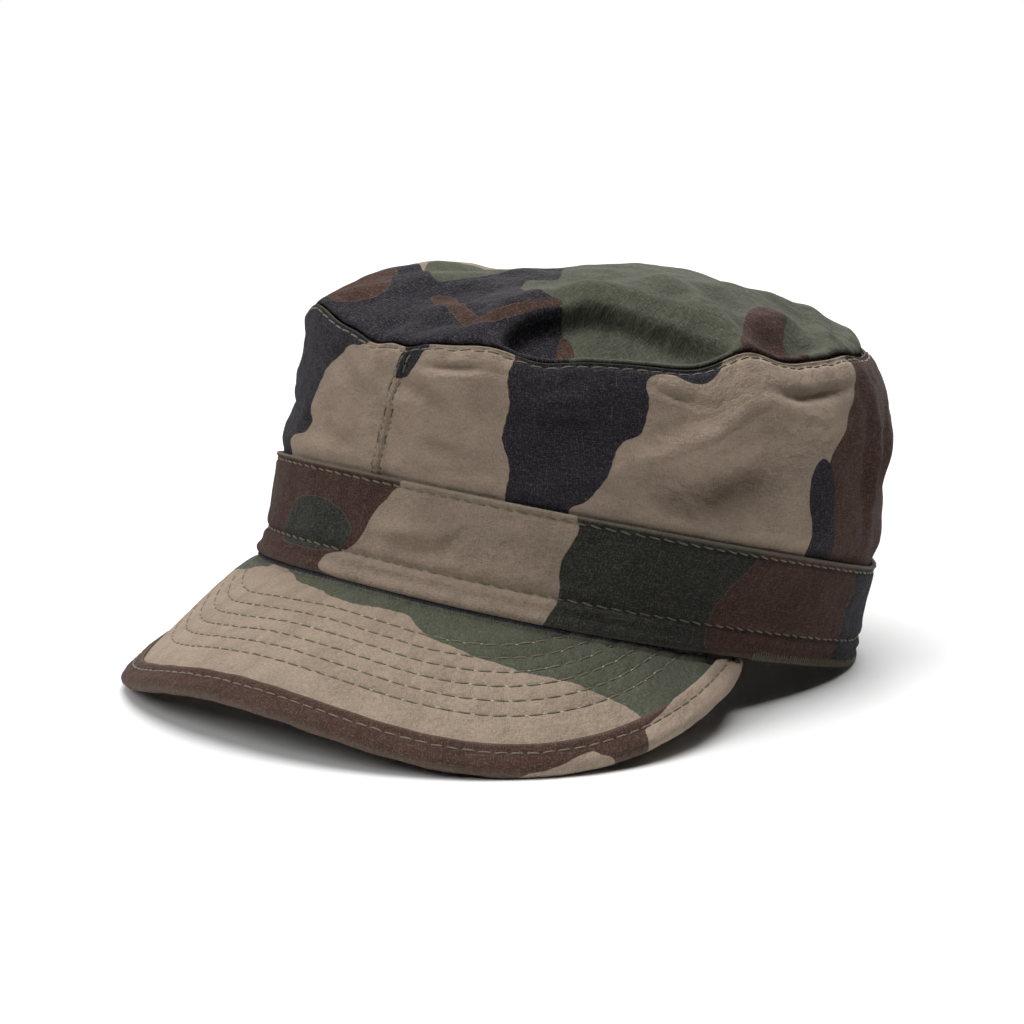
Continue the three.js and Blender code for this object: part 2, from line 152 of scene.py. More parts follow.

# ---- Binding ----
BINDING_WIDTH = 9.5
BINDING_CLOTH = 0.9
BINDING_RADIUS = PEAK_THICKNESS / 2 + GAP + BINDING_CLOTH
BINDING_SHORTEST = 4.0
BINDING_TAIL = 4.4  # runs straight on from the left end, in under the band
TAIL_LEAD = 3.0  # and takes its direction from this much of the tape before it
EDGE_LIFT = 0.98
END_PINCH = 0.5
PINCH_START = 0.9
SHORT_OF_SEAM = {"peak": 0.2, "binding": 0.5}  # how far each cloth stops from the peak's sewn edge

# ---- Charts ----
MM_PER_DEGREE = 1.6  # running size around band and wall for each degree from the front
HALF_GIRTH = 180 * MM_PER_DEGREE

# ---- Sewing ----
TOP_ROW = 71.7  # topstitch under the welt, on the wall's chart
BAND_UPPER_ROW = 30.1
BAND_LOWER_ROW = 8.2
PEAK_FIRST_ROW = 19.5  # depth from the outer edge
PEAK_ROW_SPACING = 5.4
PEAK_ROW_COUNT = 6
BINDING_ROW = 7.1
SEAM_ROW_OFFSET = 1.5  # the two rows of the felled seams, either side of their middle
FRONT_SEAM = {"foot": -4.6, "lean": 0.07, "curve": 0.001}  # it leans to the wearer's left as it rises
BAND_PITCH = 4.3
PEAK_PITCH = 4.9
SEAM_PITCH = 3.8


# ======== The cap's form ========

def unit(vectors):
    return vectors / np.linalg.norm(vectors, axis=-1, keepdims=True)


def smooth(start, end, value):
    """Rises from 0 at start to 1 at end, level at both."""
    share = np.clip((value - start) / (end - start), 0, 1)
    return share * share * (3 - 2 * share)


def bell(distance, spread):
    return np.exp(-((distance / spread) ** 2))


def turn_between(degrees, other):
    return (degrees - other + 180) % 360 - 180


def oval(angle, half_depth, half_width, squareness):
    """Plan point of a superellipse. Angle 0 is the front."""
    across, ahead = np.sin(angle), np.cos(angle)
    reach = (np.abs(across) ** squareness + np.abs(ahead) ** squareness) ** (-1 / squareness)
    return half_width * reach * across, -half_depth * reach * ahead


def settle(height):
    """Height of the pitched opening, pressed flat where the surface holds it up."""
    eased = (height + REST_BLEND) ** 2 / (4 * REST_BLEND)
    return np.where(height <= -REST_BLEND, 0, np.where(height >= REST_BLEND, height, eased))


def over_opening(x, y, height):
    """A point over the opening: x and y in its plane, height square to it."""
    tipped = np.sin(PITCH) * (OPENING_HALF_DEPTH - y) - np.sin(LEAN) * x
    return np.stack([
        x * np.cos(LEAN) + height * np.sin(LEAN),
        y * np.cos(PITCH) + height * np.sin(PITCH),
        settle(tipped - REST_SINK) + height * np.cos(PITCH),
    ], -1)


def band_point(angle, height, inset):
    angle, height = np.broadcast_arrays(np.asarray(angle, float), np.asarray(height, float))
    share = height / BAND_HEIGHT
    over_peak = smooth(PEAK_END + 0.4, PEAK_END - 0.1, np.abs(angle))
    pinch = FLARE * (1 - share) * smooth(0, FLARE_HEIGHT, height) * over_peak
    x, y = oval(
        angle,
        OPENING_HALF_DEPTH + BAND_TOP_DEPTH_CHANGE * share - inset - pinch,
        OPENING_HALF_WIDTH + BAND_TOP_WIDTH_CHANGE * share - inset - pinch,
        OPENING_SQUARENESS,
    )
    return over_opening(x, y, height)


def around_sum(amounts, angle):
    return amounts["all"] + amounts["front"] * np.cos(angle) + amounts["left"] * np.sin(angle)


def seam_point(angle):
    angle = np.asarray(angle, float)
    x, y = oval(angle, SEAM_HALF_DEPTH, SEAM_HALF_WIDTH, SEAM_SQUARENESS)
    height = around_sum(SEAM_HEIGHT, angle)
    for centre, spread, rise in SEAM_WAVES:
        height = height + rise * bell(turn_between(np.degrees(angle), centre), spread)
    return np.stack([SEAM_CENTRE[0] + x, SEAM_CENTRE[1] + y, height], -1)


def outward(angle):
    x, y = oval(angle, OPENING_HALF_DEPTH, OPENING_HALF_WIDTH, OPENING_SQUARENESS)
    return unit(np.stack([x, y, np.zeros_like(x)], -1))


def wall_point(angle, rise):
    """Outer face of the side wall. Rise is 0 at the band, 1 at the top seam, and less where tucked in."""
    angle, rise = np.broadcast_arrays(np.asarray(angle, float), np.asarray(rise, float))
    inset = BAND_THICKNESS + GAP
    tucked = band_point(angle, BAND_HEIGHT + rise * TUCK, inset)
    foot = band_point(angle, BAND_HEIGHT, inset)
    seam = seam_point(angle + SEAM_TWIST)
    seam[..., 2] -= CLOTH + GAP
    rise = np.maximum(rise, 0)
    out = around_sum(BULGE, angle) * np.sin(np.pi * rise)
    out += inset * smooth(0, FLUSH_RISE, rise) * (1 - rise)
    turned = np.clip((rise - SHOULDER_FULL) / (1 - SHOULDER_FULL), 0, 1)
    roundness = smooth(SHOULDER_START, SHOULDER_FULL, rise) * np.sqrt(1 - turned**2)
    out += around_sum(SHOULDER, angle) * roundness
    for centre, spread, middle, height, depth in WALL_FOLDS:
        sideways = bell(turn_between(np.degrees(angle), centre), spread)
        out += depth * sideways * bell(rise - middle, height) * np.sin(np.pi * rise)
    wall = foot + (seam - foot) * rise[..., None] + outward(angle) * out[..., None]
    return np.where((rise > 0)[..., None], wall, tucked)


def top_point(angle, radius):
    """Upper face of the top panel, from its middle (radius 0) to the seam (1)."""
    seam = seam_point(angle)
    x = (seam[..., 0] - SEAM_CENTRE[0]) * radius
    y = (seam[..., 1] - SEAM_CENTRE[1]) * radius
    plane = SEAM_HEIGHT["all"]
    height = plane + (seam[..., 2] - plane) * radius**2 + DOME * (1 - radius**DOME_POWER)
    height += (1 - smooth(FOLD_FADE, 1, radius)) * folded(TOP_FOLDS, x, y)
    return np.stack([SEAM_CENTRE[0] + x, SEAM_CENTRE[1] + y, height], -1)


def folded(folds, x, y):
    """Sum of soft ellipses: each has x, y, turn in degrees, length, width and height."""
    height = np.zeros_like(x)
    for centre_x, centre_y, turn, length, width, rise in folds:
        turn = np.radians(turn)
        along = (x - centre_x) * np.cos(turn) + (y - centre_y) * np.sin(turn)
        across = (y - centre_y) * np.cos(turn) - (x - centre_x) * np.sin(turn)
        height += rise * bell(along, length) * bell(across, width)
    return height


def peak_plan(station):
    """Plan of the peak's outer edge, from -1 at its right end to 1 at its left end."""
    end = band_point(PEAK_END, 0, PEAK_INSET)
    front = band_point(0, 0, 0)[1] - PEAK_REACH
    turn = np.asarray(station, float) * np.pi / 2
    ahead = np.abs(np.cos(turn))
    flare = np.where(turn > 0, PEAK_FLARE_LEFT, PEAK_FLARE_RIGHT)
    tuck = bell(station - PEAK_TUCK["station"], PEAK_TUCK["spread"])
    return np.stack([
        end[0] * np.sin(turn) * (1 + flare * ahead) + PEAK_TUCK["inward"] * tuck,
        end[1] + (front - end[1]) * ahead**PEAK_ROUNDNESS + PEAK_TUCK["back"] * tuck,
    ], -1)


def run_of_edge(side):
    """Running lengths of the outer edge from its middle to one of its ends."""
    steps = np.linalg.norm(np.diff(peak_plan(side * EDGE_STATIONS), axis=0), axis=1)
    return np.concatenate([[0], np.cumsum(steps)])


EDGE_STATIONS = np.linspace(0, 1, 201)
LEFT_RUN = run_of_edge(1)
RIGHT_RUN = run_of_edge(-1)


def station_at(run):
    """Station of a running length along the outer edge, positive on the left."""
    left = np.interp(np.abs(run), LEFT_RUN, EDGE_STATIONS)
    right = np.interp(np.abs(run), RIGHT_RUN, EDGE_STATIONS)
    return np.where(run > 0, left, -right)


def edge_share(run):
    return np.clip(np.where(run > 0, run / LEFT_RUN[-1], run / RIGHT_RUN[-1]), -1, 1)


def seam_drop(share):
    """Drop of the peak's middle surface under the band's edge."""
    room = smooth(BINDING_ROOM["start"], BINDING_ROOM["full"], np.abs(share))
    return GAP + PEAK_THICKNESS / 2 + (BINDING_RADIUS - PEAK_THICKNESS / 2) * room


def peak_ruling(run):
    """Outer and inner end of the straight line across the peak at a running length."""
    run = np.asarray(run, float)
    share = edge_share(run)
    angle = PEAK_END * (share * (1 - PEAK_FAN) + PEAK_FAN * share**3)
    inner = band_point(angle, 0, PEAK_INSET)
    inner[..., 2] -= seam_drop(share)
    end = band_point(np.sign(run) * PEAK_END, 0, PEAK_INSET)
    end_height = end[..., 2] - seam_drop(1.0) - EDGE_LIFT
    walked = np.abs(share)
    arch = PEAK_ARCH * (0.5 + 0.5 * np.cos(np.pi * walked / PEAK_CORNER))
    droop = np.where(run > 0, PEAK_DROOP_LEFT, PEAK_DROOP_RIGHT)
    rising = np.clip((walked - PEAK_CORNER) / (1 - PEAK_CORNER), 0, 1) ** droop
    height = np.where(walked > PEAK_CORNER, end_height * (0.5 - 0.5 * np.cos(np.pi * rising)), arch)
    plan = peak_plan(station_at(run))
    return np.concatenate([plan, (height + EDGE_LIFT)[..., None]], -1), inner


def peak_length(run):
    outer, inner = peak_ruling(run)
    return np.linalg.norm(outer - inner, axis=-1)


def peak_middle(run, depth):
    """Middle surface of the peak, depth millimetres in from its outer edge."""
    run, depth = np.broadcast_arrays(np.asarray(run, float), np.asarray(depth, float))
    outer, inner = peak_ruling(run)
    length = np.linalg.norm(outer - inner, axis=-1)
    share = np.minimum(depth / length, 1)
    point = outer + (inner - outer) * share[..., None]
    side = smooth(PEAK_SIDE["start"], PEAK_SIDE["full"], -edge_share(run))
    crown = PEAK_CROWN * np.minimum(length / PEAK_CROWN_SPAN, 1)
    crown += PEAK_SIDE["height"] * side * np.minimum(length / PEAK_SIDE["span"], 1)
    point[..., 2] += crown * 4 * share * (1 - share)
    return point


def run_with_length(side, length):
    """The furthest running length on one side whose ruling is still this long."""
    runs = side * np.linspace(0, LEFT_RUN[-1] if side > 0 else RIGHT_RUN[-1], 600)
    return runs[np.nonzero(peak_length(runs) >= length)[0][-1]]


def frame_shift():
    """The row frame's origin, from the band's box, against the formulas' own."""
    angles = np.radians(np.linspace(-180, 180, 81))[:, None]
    ring = band_point(angles, np.linspace(0, BAND_HEIGHT, 5)[None, :], 0.0).reshape(-1, 3)
    low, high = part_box("band")
    return (np.array(low) + np.array(high)) / (2 * MM) - (ring.min(0) + ring.max(0)) / 2


SHIFT = frame_shift()


# ======== Charts: two running sizes in millimetres to a point ========

def wall_chart(along, up):
    """The crown's side: along from the front, up from the band, and past its height over the welt."""
    angle = np.radians(along / MM_PER_DEGREE)
    rise = np.where(up < 0, up / TUCK, np.minimum(up, WALL_HEIGHT) / WALL_HEIGHT)
    point = wall_point(angle, rise)
    turn = np.pi * np.clip((up - WALL_HEIGHT) / WELT_GIRTH, 0, 1)
    point = point + outward(angle) * (WELT_HALF_WIDTH * (np.cos(turn) - 1))[..., None]
    point[..., 2] += WELT_HEIGHT * np.sin(turn)
    return point


def band_chart(along, up):
    return band_point(np.radians(along / MM_PER_DEGREE), up, 0.0)


def towards_rim(x, y):
    """Angle of a place on the top panel, its distance from the middle and the seam's on that side."""
    angle = np.arctan2(x / SEAM_HALF_WIDTH, -y / SEAM_HALF_DEPTH)
    rim_x, rim_y = oval(angle, SEAM_HALF_DEPTH, SEAM_HALF_WIDTH, SEAM_SQUARENESS)
    return angle, np.hypot(x, y), np.hypot(rim_x, rim_y)


def top_chart(x, y):
    """The top panel: plan sizes from the seam's centre."""
    angle, reach, rim = towards_rim(x, y)
    return top_point(angle, np.minimum(reach / rim, 1))


def peak_chart(along, depth):
    """Upper face of the peak: along its outer edge from the middle, and in from that edge."""
    return lifted(peak_middle, along, depth, PEAK_THICKNESS / 2)[0]


def binding_chart(along, across):
    """Outer face of the tape: across is 0 at the peak's edge, positive on the upper leg."""
    share = np.abs(edge_share(along))
    radius = BINDING_RADIUS * (1 - (1 - END_PINCH) * smooth(PINCH_START, 1, share))
    quarter = np.pi / 2 * BINDING_RADIUS
    turn = np.clip(across / BINDING_RADIUS, -np.pi / 2, np.pi / 2)
    leg = np.maximum(np.abs(across) - quarter, 0)
    furthest = peak_length(along) - SHORT_OF_SEAM["binding"]
    depth = np.minimum(BINDING_RADIUS - radius * np.cos(turn) + leg, furthest)
    return lifted(peak_middle, along, depth, radius * np.sin(turn))[0]


def lifted(place, along, across, amount, step=0.3):
    """A surface's points moved out along its normal, and the normals."""
    run = place(along + step, across) - place(along - step, across)
    rise = place(along, across + step) - place(along, across - step)
    normal = np.cross(run, rise)
    normal /= np.maximum(np.linalg.norm(normal, axis=-1, keepdims=True), 1e-9)
    return place(along, across) + normal * np.asarray(amount)[..., None], normal


# ======== Fine relief, in millimetres out from each chart ========

# Creases of the wall: along, up, turn, length, width, height.
WALL_CREASES = (
    (24, 63.0, 1, 10, 2.1, -2.2), (24, 58.5, 2, 11, 3, 1.2), (16, 48.5, -36, 12, 3.2, -2.4),
    (9, 43, -40, 10, 4, 1.4), (25, 53, -30, 10, 4, 1.2), (21, 20.5, -22, 9, 2.8, -1.9),
    (24, 26, -15, 12, 4, 1.3), (30, 10, 10, 12, 3, -0.9), (-24, 16, -12, 13, 4.5, -2.2),
    (-22, 44, -38, 10, 5, 1.8), (-18, 53, -50, 11, 3.5, -1.9), (-42, 24, 60, 14, 5, 1.2),
    (52, 54, 4, 12, 4, 1.5), (56, 46, 2, 16, 4, -1.3), (50, 18, 80, 16, 4, -1.0),
    (90, 61.5, -25, 8, 2.2, -1.5), (93, 40, 38, 26, 6, 4.4), (107, 24, 26, 22, 10, -6.2),
    (118, 38, 88, 15, 1.5, -0.8), (121.5, 38, 88, 15, 2.5, 0.9), (141, 61.5, 5, 20, 2.4, -2.6),
    (134, 52, -8, 16, 5, 2.4), (131, 32, 70, 14, 5, 0.8), (140, 18, 80, 14, 5, -0.9),
    (171, 34, 96, 22, 3.0, -1.7), (178, 32, 94, 22, 3.0, 1.5), (187, 36, 86, 20, 3.5, -1.5),
    (160, 55, 30, 14, 4, -1.2), (215, 40, 35, 24, 7, -2.2), (240, 22, -25, 20, 6, 1.6),
    (262, 50, 60, 20, 7, -2.0), (228, 58, 10, 20, 3, -1.4), (-75, 30, -40, 22, 7, -2.0),
    (-105, 48, 30, 20, 6, 1.7), (-130, 22, 20, 24, 7, -2.2), (-118, 60, 5, 20, 3, -1.5),
    (-165, 45, -45, 22, 7, -2.0), (-200, 26, 40, 22, 7, 1.8), (-235, 46, -30, 22, 7, -2.2),
    (-190, 60, -8, 22, 3, -1.4),
)

# Creases of the band, laid out the same way.
BAND_CREASES = (
    (22, 12.6, 8, 11, 3.0, -1.35), (14, 17.8, 5, 13, 2.8, 2.3), (30, 18, 30, 7, 3, -1.1),
    (95, 12, 4, 22, 3, -0.8), (130, 18, 80, 8, 10, -0.9), (-40, 15, 60, 9, 8, -0.8),
    (45, 20, 85, 9, 9, 0.5), (185, 16, 85, 9, 8, -1.2), (235, 18, 75, 9, 9, 0.9),
    (-90, 16, 95, 9, 9, -1.1), (-140, 18, 80, 9, 10, 0.9), (-195, 14, 100, 9, 9, -1.2),
    (-250, 18, 85, 9, 9, 0.9),
)

# Creases of the top panel: x, y, turn, length, width, height.
TOP_CREASES = (
    (46, 38, 80, 26, 5, 1.6), (64, 35, 135, 18, 3.5, 1.9), (58, 52, 130, 16, 4, -1.6),
    (75, 6, 88, 18, 8, -5.6), (62, 10, 95, 18, 4.5, 1.9), (60, 54, 140, 16, 12, 2.6),
    (-37, 12, 60, 10, 7, -1.4), (-58, -42, 70, 13, 8, 1.5), (-9, -46, 76, 18, 3, -1.4),
    (20, -78, 8, 16, 3.0, -1.6), (14, -68, 12, 20, 4, 1.3), (-30, -66, 40, 14, 4, -1.5),
    (-20, 40, 20, 24, 6, -2.0), (22, 40, 70, 20, 11, -1.6), (-56, 20, 80, 16, 6, -1.8),
    (4, 66, 10, 22, 6, 1.6),
)

# The corner over the wearer's left brow sags inside an arc: centre, foot and brow of the slope, drop.
# A ridge goes around it.
SAG = {"x": 76, "y": -70, "foot": 40.0, "brow": 45.0, "drop": 6.2}
SAG_RIDGE = {"radius": 51.5, "spread": 4.0, "height": 1.2}

# Unrest of the washed cloth: size and height of its broad and its fine swells.
UNREST = {
    "wall": ((30.0, 0.45), (11.0, 0.14)),
    "band": ((26.0, 0.3), (9.0, 0.08)),
    "top": ((32.0, 0.5), (12.0, 0.16)),
    "peak": ((34.0, 0.14),),
    "binding": ((15.0, 0.16),),
}

# What each seam draws in beside it: shift along it, reach, wave length, height.
PUCKERS = {
    "welt": (0, 6.0, 9.5, 0.42),
    "wall foot": (40, 6.0, 12.0, 0.22),
    "felled seam": (0, 6.0, SEAM_PITCH * 2, 0.16),
    "band lower row": (0, 3.5, BAND_PITCH * 2, 0.2),
    "band upper row": (25, 3.5, BAND_PITCH * 2, 0.16),
    "peak row": (0, 1.6, PEAK_PITCH, 0.05),
    "binding row": (0, 2.5, BAND_PITCH, 0.07),
}

# Rolls, and grooves under the rows of stitches, that run along a cloth: place across it, spread, height.
WALL_LINES = ((TOP_ROW, 0.75, -0.45),)
BAND_LINES = (
    (BAND_UPPER_ROW, 0.8, -0.6),
    (BAND_LOWER_ROW + 3.2, 2.0, 0.45),
    (BAND_LOWER_ROW, 0.8, -0.7),
    (1.7, 1.2, 0.7),
)
BAND_BACK_SEAM = ((0, 0.5, -0.5), (1.6, 1.2, 0.25))
PEAK_ROWS = [PEAK_FIRST_ROW + row * PEAK_ROW_SPACING for row in range(PEAK_ROW_COUNT)]
PEAK_LINES = [(depth, 0.8, -0.34) for depth in PEAK_ROWS]
PEAK_BACK_LINES = ((2.7, 0.8, -0.5),)
BINDING_LINES = ((BINDING_ROW, 0.7, -0.28),)

# The roll over the band's lower edge, whose height comes and goes along it.
BAND_HEM = {"up": 6.0, "spread": 1.2, "height": 0.85, "change": 0.25, "wave": 9.0}
BAND_RIM_RISE = 0.25
PEAK_BACK = {"start": 2.2, "edge": 1.2, "rise": 0.85}  # the peak's cloth turns up against the band
TOP_RIM = {"start": 3.2, "edge": 0.4, "drop": 1.3}  # and the top's turns down into its seam
FELL = {"height": 0.6, "edge": 2.7, "flat": 2.0, "row_spread": 0.6, "row": 0.5, "holes": 0.8}
TAPE_EDGE_DROP = 0.55
TOP_SEAM_RADIUS = 86  # turns an angle around the top into a running size

# Waves that make up the unrest: direction in degrees, how many fit a swell, phase.
CRUMPLE_WAVES = (
    (17, 1.0, 0.3), (74, 1.3, 1.9), (131, 0.8, 4.1), (49, 1.7, 2.6), (104, 2.3, 5.2), (158, 3.1, 0.9),
)


def crumple(x, y, size):
    """Uneven unrest of washed cotton, about from -1 to 1, with swells about size apart."""
    total = np.zeros(np.broadcast(x, y).shape)
    for turn, pace, phase in CRUMPLE_WAVES:
        turn = np.radians(turn)
        warp = 1.6 * np.sin(2 * np.pi * (x * np.sin(turn) + y * np.cos(turn)) / (2.7 * size) + 3 * phase)
        wave = 2 * np.pi * pace * (x * np.cos(turn) + y * np.sin(turn)) / size
        total += np.sin(wave + phase + warp) / pace**0.7
    return total / 3


def unrest(cloth, x, y):
    """All of a cloth's unrest, the fine swells turned across the broad ones."""
    total = 0
    for size, height in UNREST[cloth]:
        total = total + height * crumple(x, y, size)
        x, y = y, x
    return total


def puckers(seam, along, distance):
    """Small waves that a stitch row draws in beside it, dying out within reach."""
    shift, reach, size, height = PUCKERS[seam]
    along = along + shift
    wander = along + 2.2 * np.sin(along / 17.0) + 1.1 * np.sin(along / 6.1 + 1.0)
    strength = 0.6 + 0.4 * np.sin(along / 23.0 + 0.7)
    return height * strength * np.cos(2 * np.pi * wander / size) * np.exp(-np.abs(distance) / reach)


def lines(profile, across):
    """The rolls and grooves that a cloth has at a place across it."""
    return sum(height * bell(across - place, spread) for place, spread, height in profile)


def front_seam(up):
    return FRONT_SEAM["foot"] + FRONT_SEAM["lean"] * up + FRONT_SEAM["curve"] * up**2


def felled_seam(distance, up):
    """A raised double strip with a stitch row sunk in each side of it."""
    strip = FELL["height"] * smooth(FELL["edge"], FELL["flat"], np.abs(distance))
    holes = 0.5 + 0.5 * np.cos(2 * np.pi * up / SEAM_PITCH)
    rows = bell(np.abs(distance) - SEAM_ROW_OFFSET, FELL["row_spread"])
    return strip - rows * (FELL["row"] + FELL["holes"] * holes) + puckers("felled seam", up, distance)


def wall_relief(along, up):
    below = WALL_HEIGHT - up
    relief = folded(WALL_CREASES, along, up) + unrest("wall", along, up)
    relief *= smooth(0, 12, up) * smooth(0, 10, below)
    relief += puckers("welt", along, np.maximum(below, 0)) * smooth(-1.5, 2, below)
    relief += puckers("wall foot", along, np.maximum(up, 0)) * smooth(-2, 2, up)
    relief += lines(WALL_LINES, up)
    seams = felled_seam(along - front_seam(up), up) + felled_seam(HALF_GIRTH - np.abs(along), up)
    return relief + seams * smooth(-0.5, 2, below)


def band_relief(along, up):
    relief = folded(BAND_CREASES, along, up) + unrest("band", along, up)
    relief *= smooth(9, 13, up) * smooth(29, 24, up)
    relief += lines(BAND_LINES, up)
    relief += BAND_RIM_RISE * smooth(BAND_UPPER_ROW + 0.3, BAND_HEIGHT - 0.6, up)
    hem = BAND_HEM["height"] * (1 - BAND_HEM["change"] * (1 - np.sin(along / BAND_HEM["wave"])))
    relief += hem * bell(up - BAND_HEM["up"], BAND_HEM["spread"])
    relief += puckers("band lower row", along, up - BAND_LOWER_ROW)
    relief += puckers("band upper row", along, up - BAND_UPPER_ROW)
    return relief + lines(BAND_BACK_SEAM, HALF_GIRTH - np.abs(along))


def top_relief(x, y):
    _, reach, rim = towards_rim(x, y)
    inside = rim - reach
    out = np.hypot(x - SAG["x"], y - SAG["y"])
    relief = folded(TOP_CREASES, x, y) + unrest("top", x, y)
    relief += SAG["drop"] * (smooth(SAG["foot"], SAG["brow"], out) - 1)
    relief += SAG_RIDGE["height"] * bell(out - SAG_RIDGE["radius"], SAG_RIDGE["spread"])
    relief *= smooth(1, 7, inside)
    along = np.arctan2(x, -y) * TOP_SEAM_RADIUS
    relief += puckers("welt", along, inside) * smooth(0, 3, inside)
    return relief - TOP_RIM["drop"] * smooth(TOP_RIM["start"], TOP_RIM["edge"], inside)


def peak_relief(along, depth):
    relief = unrest("peak", along, depth) + lines(PEAK_LINES, depth)
    for row, place in enumerate(PEAK_ROWS):
        relief += puckers("peak row", along + 9 * row, depth - place)
    behind = peak_length(along) - depth
    relief += PEAK_BACK["rise"] * smooth(PEAK_BACK["start"], PEAK_BACK["edge"], behind)
    return relief + lines(PEAK_BACK_LINES, behind)


def binding_relief(along, across):
    out = np.abs(across)
    relief = unrest("binding", along, across * 2) + lines(BINDING_LINES, out)
    relief += puckers("binding row", along, out - BINDING_ROW)
    return relief - TAPE_EDGE_DROP * smooth(BINDING_WIDTH - 0.2, BINDING_WIDTH + 0.9, out)


# ======== Print ========

# Outlines of the printed blotches, on each panel's own chart. Each is a closed curve through a few
# points, in millimetres.
WALL_PRINT = {
    "green": (
        ((206, -12), (200, 10), (208, 26), (202, 44), (214, 60), (212, 84), (262, 84), (256, 66),
         (268, 52), (262, 34), (246, 28), (238, 12), (240, -12)),
        ((-200, 84), (-196, 66), (-182, 60), (-178, 44), (-160, 40), (-150, 52), (-136, 56), (-130, 84)),
        ((-120, -12), (-124, 8), (-112, 20), (-98, 18), (-92, 6), (-94, -12)),
        ((2.5, 61), (3, 70), (4, 80), (7, 80), (7, 70), (5, 62)),
    ),
    "brown": (
        ((169, 84), (167, 70), (160, 58), (153, 47), (147, 38), (144, 24), (147, 10), (148, -12),
         (214, -12), (208, 6), (216, 22), (208, 40), (216, 56), (212, 84)),
        ((-240, -12), (-236, 12), (-222, 22), (-206, 18), (-190, 28), (-172, 24), (-160, 8), (-164, -12)),
        ((-128, 84), (-122, 66), (-106, 60), (-96, 68), (-92, 84)),
        ((262, 10), (270, 22), (286, 26), (300, 18), (300, -12), (266, -12)),
    ),
    "black": (
        ((-13, 84), (-15.5, 71), (-21, 66), (-27, 57), (-34, 45), (-38, 33), (-39.5, 20), (-42, 13),
         (-50, 10), (-53, 4), (-53, -12), (-86, -12), (-90, 8), (-82, 24), (-88, 40), (-100, 52),
         (-92, 66), (-88, 84)),
        ((2, 57), (1.8, 64), (3, 71), (4, 82), (15, 82), (12.5, 72), (10, 64), (7, 58.5), (4.5, 56.5)),
        ((43, 84), (42.5, 72), (41, 63), (42.5, 51), (41, 41), (40.5, 31), (42.5, 20), (42.5, 8),
         (42, -12), (58, -12), (60, 3), (65, 9), (69, 19), (71.5, 30), (74, 38), (79, 44), (81, 56),
         (80, 65), (81.5, 68.5), (84.5, 70.4), (88, 71), (91.5, 69.6), (95, 67.8), (99, 67.8),
         (103, 70.3), (106, 74.5), (108, 84)),
        ((141.5, 36), (144, 37.5), (148, 34), (151, 26), (152, 14), (155, 3), (157, -12), (142, -12),
         (141, 4), (141.5, 13), (139.5, 22), (139.5, 29)),
        ((-262, 84), (-258, 62), (-246, 50), (-232, 52), (-222, 44), (-210, 50), (-204, 66), (-206, 84)),
        ((-158, -12), (-154, 10), (-142, 20), (-134, 14), (-132, -12)),
        ((226, -12), (222, 12), (230, 26), (224, 38), (234, 48), (244, 40), (240, 24), (250, 12),
         (250, -12)),
    ),
}

BAND_PRINT = {
    "brown": (
        ((9, 40), (7.5, 32), (4.5, 27), (0, 21.5), (-2, 15.5), (-4.5, 11), (-9, 8.3), (-15, 6.3),
         (-17.5, 3.6), (-15.5, 1.2), (-9, -0.6), (-6, -8), (-66, -8), (-74, 8), (-68, 22), (-74, 40)),
        ((110, 40), (108, 30), (105, 22), (103, 14), (101, 9), (95, 7.4), (88, 4.8), (87, 2), (91, -8),
         (178, -8), (172, 12), (176, 40)),
        ((258, -8), (254, 12), (264, 26), (262, 40), (300, 40), (300, -8)),
        ((-300, -8), (-300, 40), (-238, 40), (-232, 24), (-240, 10), (-234, -8)),
    ),
    "green": (
        ((66, 40), (63.5, 27), (62, 18), (64, 9), (64.5, -8), (106, -8), (108, 8), (112, 20), (118, 28),
         (121, 40)),
        ((-42, 8), (-28, 5.8), (-15, 7.6), (-8.5, 10.6), (-7.5, 14), (-13, 19), (-27, 22), (-40, 19)),
        ((206, 40), (202, 26), (210, 14), (204, -8), (246, -8), (252, 10), (244, 22), (250, 40)),
        ((-150, -8), (-156, 10), (-146, 24), (-150, 40), (-104, 40), (-100, 22), (-110, 8), (-106, -8)),
    ),
    "black": (
        ((172, 40), (174, 24), (171, 10), (174, -8), (208, -8), (212, 12), (204, 24), (206, 40)),
        ((-76, -8), (-70, 12), (-78, 24), (-74, 40), (-100, 40), (-96, 24), (-106, 10), (-102, -8)),
        ((-200, 40), (-196, 26), (-184, 18), (-172, 24), (-168, 40)),
    ),
}

